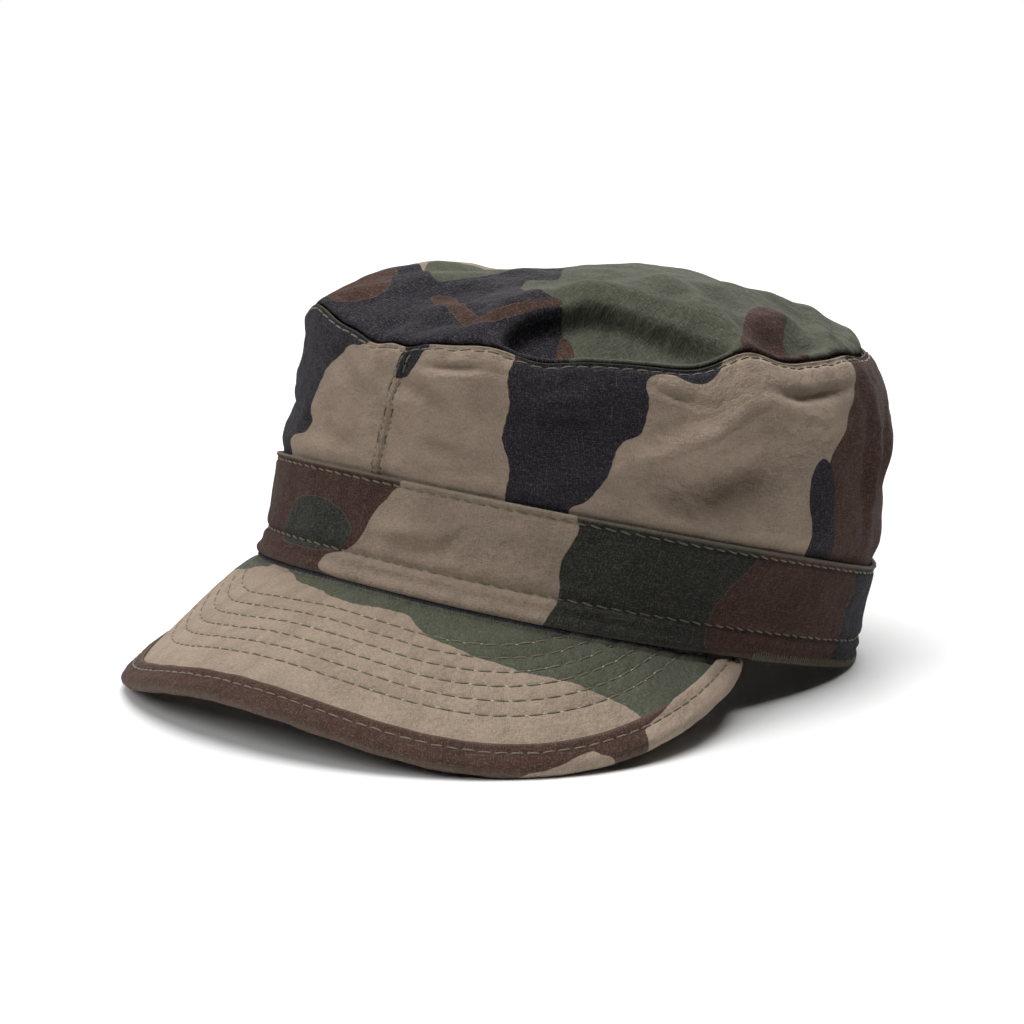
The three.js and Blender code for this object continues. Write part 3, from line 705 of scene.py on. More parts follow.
TOP_PRINT = {
    "green": (
        ((54, -84), (40, -72), (24, -64), (8, -52), (-4, -38), (-8, -24), (-14, -14), (-20, 4), (-14, 26),
         (-28, 44), (-20, 66), (-30, 100), (60, 100), (100, 40), (100, -60)),
        ((-48, -22), (-40, -8), (-22, 0), (-8, -20), (-5, -38), (-6, -48), (-10, -59), (-24, -52),
         (-38, -38), (-46, -28)),
    ),
    "black": (
        ((-100, -30), (-70, -34), (-53, -28), (-45, -31), (-35, -38), (-23, -50), (-13, -58), (-10, -47),
         (-9, -38), (-12, -22), (-24, -4), (-10, -4), (4, -19), (8, -27), (3, -32), (4, -37), (12, -47),
         (24, -55), (33, -54), (37, -57), (42, -59.5), (48, -64), (52, -100), (-60, -100)),
        ((18, 52), (34, 46), (46, 54), (40, 70), (46, 100), (0, 100), (6, 72)),
        ((-66, 0), (-50, -6), (-40, 4), (-44, 20), (-60, 26), (-96, 20), (-96, -4)),
    ),
    "brown": (
        ((57, 18), (63, 17), (70, 9), (80, 7), (95, -4), (90, -24), (77, -24), (70, -14), (63, -4),
         (58, 6)),
        ((31, -53.5), (34.2, -54.2), (32.4, -60.5), (30.8, -67), (28.6, -74), (25.5, -79), (21, -80.5),
         (14, -77), (6, -72.5), (-3, -68), (-8, -65), (-7, -62), (-3, -60.5), (3, -65), (9.8, -69.6),
         (17, -73.5), (21.8, -75.3), (24.8, -72.5), (27.2, -67), (28.8, -60.5)),
        ((-66, -42), (-59, -37), (-51, -37), (-44, -43), (-34, -56), (-23, -68), (-22, -74), (-26, -79),
         (-34, -82), (-52, -68), (-68, -60)),
        ((39, -58.5), (44, -59), (49, -64), (52, -72), (47, -74), (43, -66)),
        ((-88, 30), (-70, 22), (-56, 30), (-50, 46), (-58, 60), (-76, 70), (-96, 60)),
    ),
}

PEAK_PRINT = {
    "green": (
        ((-118, 80), (-128, 40), (-116, 34), (-105, 41), (-95, 48), (-86, 54), (-75, 58), (-62, 59.3),
         (-50, 57.8), (-38, 55), (-25, 53.4), (-14, 52.8), (-7, 50.8), (4, 50.2), (18, 50.6), (32, 52),
         (44, 52.3), (51, 49), (60, 45.6), (72, 43), (84, 40), (97, 35.5), (108, 31.5), (118, 25.5),
         (126, 18), (131, 11), (134, 4), (138, -8), (220, -8), (220, 80)),
        ((-150, 12), (-156, -6), (-210, -6), (-210, 40), (-172, 34), (-160, 24)),
    ),
    "brown": (),
    "black": (),
}

BINDING_PRINT = {
    "green": (),
    "brown": (
        ((-148, -14), (-150, 14), (127.5, 14), (130, 6), (129.5, -2), (125, -14), (119, -14), (119, 0),
         (115, 3.4), (112, 5.4), (106, 3.6), (100, 1.6), (94, 0.4), (90, -3), (88, -14)),
    ),
    "black": (((-230, -14), (-230, 14), (-176, 14), (-172, 0), (-178, -14)),),
}

PRINTS = ("green", "brown", "black")
FRAY = 0.10  # how far a print's edge strays over a few millimetres
WANDER = 0.22  # and over a few centimetres
UNPRINTED = -20.0  # depth given to a colour that has no blotch


def closed_curve(points, steps=6):
    """A smooth closed line through the points."""
    points = np.array(points, float)
    before, after, beyond = np.roll(points, 1, 0), np.roll(points, -1, 0), np.roll(points, -2, 0)
    share = (np.arange(steps) / steps)[None, :, None]
    a, b, c, d = before[:, None], points[:, None], after[:, None], beyond[:, None]
    curve = 0.5 * (2 * b + (c - a) * share + (2 * a - 5 * b + 4 * c - d) * share**2
                   + (3 * b - a - 3 * c + d) * share**3)
    return curve.reshape(-1, 2)


def depth_inside(outline, x, y):
    """Distance in from a closed line, in millimetres, and negative outside it."""
    start, end = outline, np.roll(outline, -1, 0)
    nearest = np.full(x.shape, 1e9)
    inside = np.zeros(x.shape, bool)
    for (ax, ay), (bx, by) in zip(start, end):
        run_x, run_y = bx - ax, by - ay
        share = np.clip(((x - ax) * run_x + (y - ay) * run_y) / max(run_x**2 + run_y**2, 1e-9), 0, 1)
        nearest = np.minimum(nearest, (x - ax - share * run_x) ** 2 + (y - ay - share * run_y) ** 2)
        crosses = (ay > y) != (by > y)
        at = ax + (y - ay) * run_x / (run_y if run_y else 1e-9)
        inside ^= crosses & (x < at)
    return np.sqrt(nearest) * np.where(inside, 1, -1)


def print_depths(blotches, x, y):
    """For each printed colour, how far inside its blotches a point lies. The colours print in the order
    of their names in blotches, and the shader lays them in the order of PRINTS."""
    ragged_x = x + FRAY * np.sin(y / 0.9 + 2.1 * np.sin(x / 3.7)) + WANDER * np.sin(y / 3.7 + x / 6.3)
    ragged_y = y + FRAY * np.sin(x / 1.1 + 1.7 * np.sin(y / 4.3)) + WANDER * np.sin(x / 4.1 - y / 7.1)
    depths = {}
    for colour, outlines in blotches.items():
        depth = np.full(x.shape, UNPRINTED)
        for points in outlines:
            depth = np.maximum(depth, depth_inside(closed_curve(points), ragged_x, ragged_y))
        for under in depths:
            if PRINTS.index(under) > PRINTS.index(colour):
                depths[under] = np.minimum(depths[under], -depth)
        depths[colour] = depth
    return depths


# ======== Making meshes ========

SAME_PLACE = 0.02  # vertices this near are one


def spaced(*spans):
    """Places along a side of a panel: spans of (start, end, spacing), each evenly filled."""
    counts = [max(int(round((end - start) / step)), 1) for start, end, step in spans]
    places = [np.linspace(span[0], span[1], count, endpoint=False) for span, count in zip(spans, counts)]
    return np.concatenate([*places, [spans[-1][1]]])


def panel_mesh(name, columns, rows, place, blotches, worn, flip=False):
    """A printed panel: a grid whose columns and rows are the given chart places, set where place puts
    them. Worn_and_lit gives how far the cloth pales towards the fibre at a place of the chart, for wear and
    for painted highlight, and flip turns the panel's face."""
    mesh = bpy.data.meshes.new(name)
    shape = bmesh.new()
    bmesh.ops.create_grid(shape, x_segments=len(columns) - 1, y_segments=len(rows) - 1, size=1)
    shape.to_mesh(mesh)
    shape.free()
    flat = np.zeros(len(mesh.vertices) * 3)
    mesh.vertices.foreach_get("co", flat)
    flat = flat.reshape(-1, 3)
    along = np.interp((flat[:, 0] + 1) / 2, np.linspace(0, 1, len(columns)), columns)
    across = np.interp((flat[:, 1] + 1) / 2, np.linspace(0, 1, len(rows)), rows)
    points, x, y = place(along, across)
    mesh.vertices.foreach_set("co", ((points + SHIFT) * MM).ravel())
    if flip:
        mesh.flip_normals()
    set_chart(mesh, x, y)
    set_print(mesh, blotches, x, y)
    set_values(mesh, "worn", worn(x, y))
    return mesh, x, y


def unworn(x, y):
    return np.zeros(len(x))


def set_values(mesh, name, values):
    attribute = mesh.attributes.get(name) or mesh.attributes.new(name, "FLOAT", "POINT")
    attribute.data.foreach_set("value", values.astype(np.float32))


def set_chart(mesh, x, y):
    """The chart as the piece's UV map, in metres of cloth."""
    layer = mesh.uv_layers.new(name="cloth")
    corner = np.zeros(len(mesh.loops), np.int64)
    mesh.loops.foreach_get("vertex_index", corner)
    layer.data.foreach_set("uv", (np.stack([x, y], -1)[corner] * MM).ravel())


def set_print(mesh, blotches, x, y, prefix=""):
    for colour, depth in print_depths(blotches, x, y).items():
        set_values(mesh, prefix + colour, depth)


def add_piece(name, mesh, materials, replaces=()):
    """Puts a finished mesh in the scene as a piece that rides on the cap."""
    for polygon in mesh.polygons:
        polygon.use_smooth = True
    for material in materials:
        mesh.materials.append(cap_material(material))
    piece = bpy.data.objects.new(name, mesh)
    bpy.context.scene.collection.objects.link(piece)
    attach(piece, "root")
    if replaces:
        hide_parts(*replaces)
    return piece


def thicken(piece, thickness, reverse=1):
    """Gives a cloth its thickness, inwards. Reverse is the place of the inner face's material."""
    wall = piece.modifiers.new("cloth thickness", "SOLIDIFY")
    wall.thickness = thickness * MM
    wall.offset = -1
    wall.use_even_offset = True
    wall.material_offset = reverse
    wall.material_offset_rim = 0


def merge_seam(mesh):
    """Joins the first and last column of a panel that closes on itself."""
    shape = bmesh.new()
    shape.from_mesh(mesh)
    bmesh.ops.remove_doubles(shape, verts=shape.verts, dist=SAME_PLACE * MM)
    shape.to_mesh(mesh)
    shape.free()


# ======== Materials ========

def from_hex(code):
    """An sRGB hex colour as linear red, green and blue."""
    values = [int(code[i:i + 2], 16) / 255 for i in (1, 3, 5)]
    return tuple(v / 12.92 if v <= 0.04045 else ((v + 0.055) / 1.055) ** 2.4 for v in values)


def node(tree, kind, settings=(), inputs=()):
    """Adds a node with its settings. An input gets a value, or a link from the socket given for it."""
    made = tree.nodes.new(kind)
    for key, value in dict(settings).items():
        setattr(made, key, value)
    for key, value in dict(inputs).items():
        if isinstance(value, bpy.types.NodeSocket):
            tree.links.new(value, made.inputs[key])
        else:
            made.inputs[key].default_value = value
    return made


def new_material(name):
    material = bpy.data.materials.new(name)
    material.use_nodes = True
    material.node_tree.nodes.clear()
    return material, material.node_tree


# Sizes of the cloth's patterns, in metres.
FLOAT = (0.00035, 0.0021)  # a thread's width, drawn coarser than its 0.25 mm, and its run on top
SLUB = (0.0005, 0.014)  # a thick place in a thread
FIBRES = 0.0005  # loose fibres, also drawn coarser
WASHED = 0.014  # swells and clouds left by washing
WASHED_HEIGHT = 0.0022
THREAD_HEIGHT = 0.0003
PLY = 0.0005  # twist of the sewing thread
PLY_HEIGHT = 0.0001
PRINT_EDGE = 0.16  # half the width of a print's soft edge, in millimetres
SMOOTH = {"interpolation_type": "SMOOTHSTEP"}
FLAT = {"noise_dimensions": "2D"}
REVERSE_FADE = 0.35  # how much more of the bare fibre shows on the reverse


def weave(tree):
    """Plain woven cotton, its threads drawn a little coarser than they are, so that they show. Gives the
    cloth's UV, how much each thread is raised, and the rare slubs, which run on for a centimetre."""
    uv = node(tree, "ShaderNodeUVMap", {"uv_map": "cloth"}).outputs["UV"]
    fields = []
    for width, length in (FLOAT, SLUB):
        pair = []
        for scale in ((1 / length, 1 / width, 1), (1 / width, 1 / length, 1)):
            stretched = node(tree, "ShaderNodeMapping", {}, {"Scale": scale, "Vector": uv}).outputs[0]
            noise = node(tree, "ShaderNodeTexNoise", FLAT,
                         {"Scale": 1.0, "Detail": 1.0, "Roughness": 0.6, "Vector": stretched})
            pair.append(noise.outputs["Fac"])
        higher = node(tree, "ShaderNodeMath", {"operation": "MAXIMUM"}, {0: pair[0], 1: pair[1]})
        fields.append(higher.outputs[0])
    rare = {"Value": fields[1], "From Min": 0.72, "From Max": 0.82}
    return uv, fields[0], node(tree, "ShaderNodeMapRange", SMOOTH, rare).outputs[0]


def layered(tree, base, patterns, shares=()):
    """Colours laid over a base. Each pattern has its socket, the two values between which its colour
    comes in, the colour's share at each, and the colour. Shares, each with its colour, lie on top."""
    laid = []
    for pattern, low, high, at_low, at_high, colour in patterns:
        share = node(tree, "ShaderNodeMapRange", SMOOTH, {
            "Value": pattern, "From Min": low, "From Max": high, "To Min": at_low, "To Max": at_high})
        laid.append((share.outputs[0], colour))
    for share, colour in (*laid, *shares):
        mixing = {0: share, 6: base, 7: (*colour, 1)}
        base = node(tree, "ShaderNodeMix", {"data_type": "RGBA"}, mixing).outputs[2]
    return base


def printed_cotton(name, prefix="", fade=0.0, dim=0.0, green="green"):
    """Reactive-printed cotton, woven plain and washed soft: a matt face, lighter fibres standing out of
    the dark prints, crisp print edges and faint slubs along both threads. Fade gives the cloth's paler
    reverse, and dim darkens the whole cloth."""
    colours = bpy.context.scene.field_cap_cloth
    fibre, shade = tuple(colours.fibre), from_hex("#000000")
    material, tree = new_material(name)
    uv, raised, slub = weave(tree)
    prints = []
    for colour in PRINTS:
        depth = node(tree, "ShaderNodeAttribute", {"attribute_name": prefix + colour}).outputs["Fac"]
        ink = tuple(getattr(colours, green if colour == "green" else colour))
        prints.append((depth, -PRINT_EDGE, PRINT_EDGE, 0.0, 1.0 - fade, ink))
    cloud, loose = (
        node(tree, "ShaderNodeTexNoise", FLAT,
             {"Scale": 1 / size, "Detail": detail, "Roughness": roughness, "Vector": uv}).outputs["Fac"]
        for size, detail, roughness in ((WASHED, 4.0, 0.6), (FIBRES, 2.0, 0.7))
    )
    wear = [
        (cloud, 0.35, 0.7, 0.0, 0.14, shade),
        (loose, 0.5, 0.74, 0.0, 0.13, fibre),
        (slub, 0.0, 1.0, 0.0, 0.10, fibre),
        (raised, 0.42, 0.64, 0.22, 0.0, shade),
        (raised, 0.6, 0.76, 0.0, 0.09, fibre),
    ]
    # Paler towards the fibre where the cloth is worn, and on the band's top rim also as a painted
    # highlight.
    worn = node(tree, "ShaderNodeAttribute", {"attribute_name": "worn"}).outputs["Fac"]
    even = [(worn, fibre)] + [(REVERSE_FADE, fibre)] * bool(fade) + [(dim, shade)] * bool(dim)
    base = layered(tree, (*colours.tan, 1), prints + wear, even)
    heights = node(tree, "ShaderNodeMath", {"operation": "ADD"}, {0: raised, 1: loose}).outputs[0]
    washed = node(tree, "ShaderNodeBump", {}, {"Strength": 1.0, "Distance": WASHED_HEIGHT, "Height": cloud})
    woven = node(tree, "ShaderNodeBump", {}, {
        "Strength": 0.8, "Distance": THREAD_HEIGHT, "Height": heights, "Normal": washed.outputs[0]})
    surface = node(tree, "ShaderNodeBsdfPrincipled", {}, {
        "Base Color": base, "Normal": woven.outputs[0], "Roughness": 0.95,
        "Specular IOR Level": 0.12, "Sheen Weight": 0.04, "Sheen Roughness": 0.4})
    node(tree, "ShaderNodeOutputMaterial", {}, {"Surface": surface.outputs[0]})
    return material


def spun_thread(name, hex_code):
    """Spun polyester sewing thread: two plies with a slight gloss and a fine twist."""
    material, tree = new_material(name)
    where = node(tree, "ShaderNodeTexCoord").outputs["Object"]
    noise = node(tree, "ShaderNodeTexNoise", {}, {"Scale": 1 / PLY, "Detail": 2.0, "Vector": where})
    twist = noise.outputs["Fac"]
    tone = layered(tree, (*from_hex(hex_code), 1), [(twist, 0.3, 0.7, 0.0, 0.4, from_hex("#303027"))])
    bump = node(tree, "ShaderNodeBump", {}, {"Strength": 0.6, "Distance": PLY_HEIGHT, "Height": twist})
    surface = node(tree, "ShaderNodeBsdfPrincipled", {}, {
        "Base Color": tone, "Normal": bump.outputs[0], "Roughness": 0.6,
        "Specular IOR Level": 0.35, "Sheen Weight": 0.2, "Sheen Roughness": 0.4})
    node(tree, "ShaderNodeOutputMaterial", {}, {"Surface": surface.outputs[0]})
    return material


def matt_paper(name, hex_code):
    """Seamless background paper: matt and even."""
    material, tree = new_material(name)
    surface = node(tree, "ShaderNodeBsdfPrincipled", {}, {
        "Base Color": (*from_hex(hex_code), 1), "Roughness": 0.9, "Specular IOR Level": 0.1})
    node(tree, "ShaderNodeOutputMaterial", {}, {"Surface": surface.outputs[0]})
    return material


MATERIALS = {
    "printed cotton": (printed_cotton, {}),
    "printed cotton reverse": (printed_cotton, {"fade": 0.45}),
    # A darker copy of the printed cotton, for the band, with the deeper green.
    "printed cotton, darker lot": (printed_cotton, {"dim": 0.22, "green": "deep_green"}),
    "printed cotton under peak": (printed_cotton, {"prefix": "under_"}),
    "olive drab thread": (spun_thread, {"hex_code": "#736c57"}),
    "undyed bobbin thread": (spun_thread, {"hex_code": "#cfc9b6"}),
    "overlock thread": (spun_thread, {"hex_code": "#6f6855"}),
}


def cap_material(name):
    """A material by name, made the first time it is asked for."""
    maker, choices = MATERIALS[name]
    return bpy.data.materials.get(name) or maker(name, **choices)


# ======== Settings ========

def colour(name, description, hex_code):
    return bpy.props.FloatVectorProperty(name=name, description=description, subtype="COLOR", size=3,
                                         min=0, max=1, default=from_hex(hex_code))


def length(name, description, millimetres):
    return bpy.props.FloatProperty(name=name, description=description, default=millimetres * MM,
                                   min=0, unit="LENGTH", precision=5)


def turn(name, description, degrees):
    return bpy.props.FloatProperty(name=name, description=description, default=np.radians(degrees),
                                   subtype="ANGLE")


def plain(name, description, default):
    return bpy.props.FloatProperty(name=name, description=description, default=default, min=0)


class FieldCapCloth(bpy.types.PropertyGroup):
    """Colours and thickness of the printed cotton."""

    tan: colour("Tan", "Ground colour of the print", "#a59382")
    green: colour("Green", "Printed green", "#575a4d")
    # Green of the band's print, darker than the green elsewhere.
    deep_green: colour("Deep green", "Printed green of the band's darker dye lot", "#343632")
    brown: colour("Brown", "Printed brown", "#4b352f")
    black: colour("Black", "Printed black, slightly violet", "#292831")
    fibre: colour("Fibre", "Undyed fibre that shows on worn and raised threads", "#b9ae9c")
    thickness: length("Thickness", "Doubled cotton of crown side and top", 1.4)


class FieldCapSewing(bpy.types.PropertyGroup):
    """Sizes of the stitches."""

    thread: length("Thread", "Width of the topstitching thread as it lies", 0.62)
    gap: length("Gap", "Cloth between two stitches of a row", 1.1)
    overlock: length("Overlock spacing", "Distance between two overlock loops", 1.15)


class FieldCapStage(bpy.types.PropertyGroup):
    """Camera and light."""

    azimuth: turn("Azimuth", "Turn of the camera around the cap", 41.7)
    elevation: turn("Elevation", "Height of the camera over the floor", 10.2)
    distance: length("Distance", "From the cap's middle to the camera", 725)
    lens: plain("Lens", "Focal length in millimetres", 79.1)
    key: plain("Key light", "Irradiance of the large softbox overhead", 2.95)
    rear: plain("Rear light", "Irradiance of the lit backdrop", 2.7)
    fill: plain("Front light", "Irradiance of the softbox in front", 1.25)
    ambient: plain("Ambient", "Strength of the white surroundings", 0.02)


# ======== Pieces ========

LINED = ("printed cotton", "printed cotton reverse")
TOP_CELLS = 150
PEAK_CELLS = 96
WALL_RIM = WALL_HEIGHT + 0.84 * WELT_GIRTH  # the side's cloth ends most of the way over the welt
HALF_SEAM_GAP = 0.1  # from the front seam's line to the edge of either half
UNDER_PRINT = {"shift": 180, "along": 1.3, "depth": 0.6}  # how the peak's underside runs through it

# How far each cloth pales towards the bare fibre where it rubs; on the band's top rim the paling is partly
# a painted highlight, for the light from above that the rolled edge catches.
WORN_AND_LIT = {"welt": 0.22, "band rim": 0.32, "band edge": 0.14, "tape fold": 0.12, "tape edges": 0.1}

# The panels' grids are finer where a row of stitches, a seam or a fold needs it.


class FIELDCAP_OT_crown_sides(bpy.types.Operator):
    """Cut and fold the two halves of the crown's side wall."""

    bl_idname = "field_cap.crown_sides"
    bl_label = "Crown sides"

    def execute(self, context):
        back = HALF_GIRTH - 10
        rows = spaced((-TUCK, 0, 2.0), (0, 66, 1.15), (66, 70.2, 0.7), (70.2, WALL_RIM, 0.36))
        for side, label in ((1, "left"), (-1, "right")):
            columns = side * spaced((0, 14, 0.45), (14, back, 1.25), (back, HALF_GIRTH, 0.6))

            def place(along, up):
                # The columns open up from the leaning front seam to the straight one at the back.
                along = along + front_seam(up) * (1 - np.abs(along) / HALF_GIRTH)
                along = np.clip(along + side * HALF_SEAM_GAP, -HALF_GIRTH, HALF_GIRTH)
                return lifted(wall_chart, along, up, wall_relief(along, up))[0], along, up

            def worn(along, up):
                return WORN_AND_LIT["welt"] * smooth(WALL_HEIGHT + 0.6, WALL_HEIGHT + 1.8, up)

            name = f"crown_side_{label}"
            mesh = panel_mesh(name, columns, rows, place, WALL_PRINT, worn, flip=side < 0)[0]
            piece = add_piece(name + "_cloth", mesh, LINED, [name])
            thicken(piece, context.scene.field_cap_cloth.thickness / MM)
        return {"FINISHED"}


class FIELDCAP_OT_crown_top(bpy.types.Operator):
    """Cut and fold the crown's oval top panel."""

    bl_idname = "field_cap.crown_top"
    bl_label = "Crown top"

    def execute(self, context):
        def place(a, b):
            """A square grid drawn round into a disc, so that its cells stay even."""
            wide = np.abs(a) > np.abs(b)
            reach = np.where(wide, a, b)
            other = np.where(wide, b, a)
            turn = np.pi / 4 * other / np.where(reach == 0, 1, reach)
            x = np.where(wide, reach * np.cos(turn), reach * np.sin(turn))
            y = np.where(wide, reach * np.sin(turn), reach * np.cos(turn))
            half_depth, half_width = SEAM_HALF_DEPTH - TOP_RIM_INSET, SEAM_HALF_WIDTH - TOP_RIM_INSET
            rim_x, rim_y = oval(np.arctan2(x, -y), half_depth, half_width, SEAM_SQUARENESS)
            x, y = rim_x * np.hypot(x, y), rim_y * np.hypot(x, y)
            return lifted(top_chart, x, y, top_relief(x, y))[0], x, y

        cells = np.linspace(-1, 1, TOP_CELLS)
        mesh = panel_mesh("crown_top", cells, cells, place, TOP_PRINT, unworn)[0]
        piece = add_piece("crown_top_cloth", mesh, LINED, ["crown_top"])
        thicken(piece, context.scene.field_cap_cloth.thickness / MM)
        return {"FINISHED"}


class FIELDCAP_OT_band(bpy.types.Operator):
    """Fold the doubled band around the head opening."""

    bl_idname = "field_cap.band"
    bl_label = "Band"

    def execute(self, context):
        half = BAND_THICKNESS / 2
        turn_over = np.pi * half  # running length over a folded edge
        face = BAND_HEIGHT - 2 * half
        top, down, end = face + turn_over, 2 * face + turn_over, 2 * (face + turn_over)
        profile = spaced((0, 6.4, 0.8), (6.4, 9.4, 0.42), (9.4, 27.6, 1.3), (27.6, face, 0.42),
                         (face, top, 0.47), (top, down, 1.6), (down, end, 0.47))

        def place(along, run):
            """The profile runs up the outer face, over the fold, down inside and round the edge."""
            over = np.clip((run - face) / turn_over, 0, 1) * np.pi
            under = np.clip((run - down) / turn_over, 0, 1) * np.pi
            up = half + np.clip(run, 0, face) - np.clip(run - top, 0, face)
            up = up + half * (np.sin(over) - np.sin(under))
            inset = half * (1 - np.cos(over)) - half * (1 - np.cos(under))
            outside = 1 - inset / BAND_THICKNESS
            points, normal = lifted(band_chart, along, up, band_relief(along, up) * outside)
            points = points - normal * inset[..., None]
            points[..., 2] = np.maximum(points[..., 2], -SHIFT[2])
            inner = (run > top) & (under < 0.01)
            print_up = np.where(under > 0, half + run - end, up)
            return points, np.where(inner, -along, along), np.where(inner, BAND_HEIGHT - up, print_up)

        def worn(along, up):
            # The top rim pales partly as wear and partly as a painted highlight of the light from above on
            # its roll.
            rim = WORN_AND_LIT["band rim"] * smooth(BAND_HEIGHT - 1.2, BAND_HEIGHT - 0.3, up)
            return rim + WORN_AND_LIT["band edge"] * smooth(1.2, 0.2, up)

        columns = spaced((-HALF_GIRTH, HALF_GIRTH, 1.2))
        mesh = panel_mesh("band", columns, profile, place, BAND_PRINT, worn)[0]
        merge_seam(mesh)
        piece = add_piece("band_cloth", mesh, ["printed cotton, darker lot"], ["band"])
        return {"FINISHED"}


class FIELDCAP_OT_peak(bpy.types.Operator):
    """Cover the peak's board with cloth and quilt it."""

    bl_idname = "field_cap.peak"
    bl_label = "Peak"

    def execute(self, context):
        left, right = (run_with_length(side, PEAK_SHORTEST) for side in (1, -1))

        def place(along, share):
            furthest = peak_length(along) - SHORT_OF_SEAM["peak"]
            depth = BINDING_RADIUS + (furthest - BINDING_RADIUS) * share
            return lifted(peak_chart, along, depth, peak_relief(along, depth))[0], along, depth

        columns, rows = spaced((right, left, 1.35)), np.linspace(0, 1, PEAK_CELLS)
        mesh, along, depth = panel_mesh("peak", columns, rows, place, PEAK_PRINT, unworn)
        # Painted shadow: the cloth's last strip before the band is printed black, for the shade in the
        # crevice under the band's edge.
        set_values(mesh, "black", PAINTED_SHADOW_WIDTH - (peak_length(along) - depth))
        # The underside is cut from elsewhere in the cloth. It shows the band's print, narrower and deeper.
        along = (along * UNDER_PRINT["along"] + UNDER_PRINT["shift"]) % (2 * HALF_GIRTH) - HALF_GIRTH
        set_print(mesh, BAND_PRINT, along, depth * UNDER_PRINT["depth"], prefix="under_")
        cloth = ["printed cotton", "printed cotton under peak"]
        piece = add_piece("peak_cloth", mesh, cloth, ["peak"])
        thicken(piece, PEAK_THICKNESS)
        return {"FINISHED"}


class FIELDCAP_OT_peak_binding(bpy.types.Operator):
    """Fold the tape around the peak's edge."""

    bl_idname = "field_cap.peak_binding"
    bl_label = "Peak binding"

    def execute(self, context):
        left, right = (run_with_length(side, BINDING_SHORTEST) for side in (1, -1))
        columns = spaced((right, left, 1.2), (left, left + BINDING_TAIL, 0.6))
        edge = BINDING_WIDTH + 1
        tail = unit(binding_chart(left, 0.0) - binding_chart(left - TAIL_LEAD, 0.0))
        rows = spaced((-edge, -8.2, 0.45), (-8.2, -6, 0.5), (-6, 6, 0.75),
                      (6, 8.2, 0.5), (8.2, edge, 0.45))

        def place(along, across):
            held = np.minimum(along, left)
            points = lifted(binding_chart, held, across, binding_relief(held, across))[0]
            points += (along - held)[..., None] * tail
            points[..., 2] = np.maximum(points[..., 2], -SHIFT[2])
            return points, along, across

        def worn(along, across):
            edges = WORN_AND_LIT["tape edges"] * smooth(BINDING_WIDTH - 0.6, edge, np.abs(across))
            return WORN_AND_LIT["tape fold"] * bell(across, 1.6) + edges

        mesh = panel_mesh("peak_binding", columns, rows, place, BINDING_PRINT, worn)[0]
        cloth = ["printed cotton"]
        piece = add_piece("peak_binding_tape", mesh, cloth, ["peak_binding"])
        thicken(piece, BINDING_CLOTH, reverse=0)
        return {"FINISHED"}


# ======== Stitches ========

DICE = np.random.default_rng(11)

SPECK = {"thread": 0.34, "length": 0.5, "share": 0.45}  # undyed lower thread between the peak's stitches
LOOP = {"up": 1.1, "thread": 0.42, "slant": 1.25, "reach": 1.1, "spread": 0.16}  # overlock
CHAIN = {"up": 0.3, "thread": 0.5, "slant": 0.5, "pitch": 1.6, "gap": -0.2, "sink": 0.2}  # along its rim
BEAD = {"height": 0.42, "bluntness": 0.45, "dip": 0.9, "buried": 0.2}  # shape of one stitch
SINK = 0.3  # how deep a stitch lies, as a share of its thread
STRAY = {"turn": 0.05, "width": 0.07}
CORNER_PULL = {"start": -96, "full": -106, "more": 0.5}  # behind the peak's right corner it lies deeper


def stitch_row(surface, along, across, pitch, thread, gap, slant=0.0, sink=SINK):
    """Middles and half axes (side, normal, ahead) of a row of stitches, in millimetres."""
    points, normals = surface(along, across)
    run = np.concatenate([[0], np.cumsum(np.linalg.norm(np.diff(points, axis=0), axis=1))])
    count = max(int(run[-1] / pitch), 1)
    middle = (np.arange(count) + 0.5) * run[-1] / count
    half = (run[-1] / count - gap) / 2

    def along_run(where, values):
        return np.stack([np.interp(where, run, values[:, axis]) for axis in range(3)], -1)

    normal = unit(along_run(middle, normals))
    ahead = unit(along_run(middle + half, points) - along_run(middle - half, points))
    side = unit(np.cross(normal, ahead))
    turn = slant + DICE.normal(0, STRAY["turn"], (count, 1))
    ahead, side = ahead * np.cos(turn) + side * np.sin(turn), side * np.cos(turn) - ahead * np.sin(turn)
    width = thread / 2 * (1 + DICE.normal(0, STRAY["width"], (count, 1)))
    deep = np.interp(middle, run, np.broadcast_to(sink, run.shape))[:, None]
    centre = along_run(middle, points) + normal * thread * (0.5 - deep)
    high, long = normal * thread * BEAD["height"], ahead * (half + BEAD["buried"])
    return np.stack([centre, side * width, high, long], 1)


def bead_mesh(name, stitches):
    """One mesh with a bead for each stitch: a short fat thread whose ends dip into the cloth."""
    seed = bpy.data.meshes.new(name)
    shape = bmesh.new()
    bmesh.ops.create_uvsphere(shape, u_segments=6, v_segments=6, radius=1)
    shape.to_mesh(seed)
    shape.free()
    holder = bpy.data.objects.new(name, seed)
    bpy.context.scene.collection.objects.link(holder)
    copies = holder.modifiers.new("copies", "ARRAY")
    copies.use_relative_offset = False
    copies.count = len(stitches)
    many = bpy.data.meshes.new_from_object(holder.evaluated_get(bpy.context.evaluated_depsgraph_get()))
    bpy.data.objects.remove(holder)
    bpy.data.meshes.remove(seed)
    flat = np.zeros(len(many.vertices) * 3)
    many.vertices.foreach_get("co", flat)
    ball = flat.reshape(len(stitches), -1, 3)
    reach = np.maximum(np.hypot(ball[..., 0], ball[..., 1]), 1e-6)
    ball[..., :2] *= (reach ** BEAD["bluntness"] / reach)[..., None]
    ball[..., 1] -= BEAD["dip"] * ball[..., 2] ** 4
    places = stitches[:, None, 0] + np.einsum("nvk,nkc->nvc", ball, stitches[:, 1:])
    many.vertices.foreach_set("co", ((places + SHIFT) * MM).ravel())
    return many


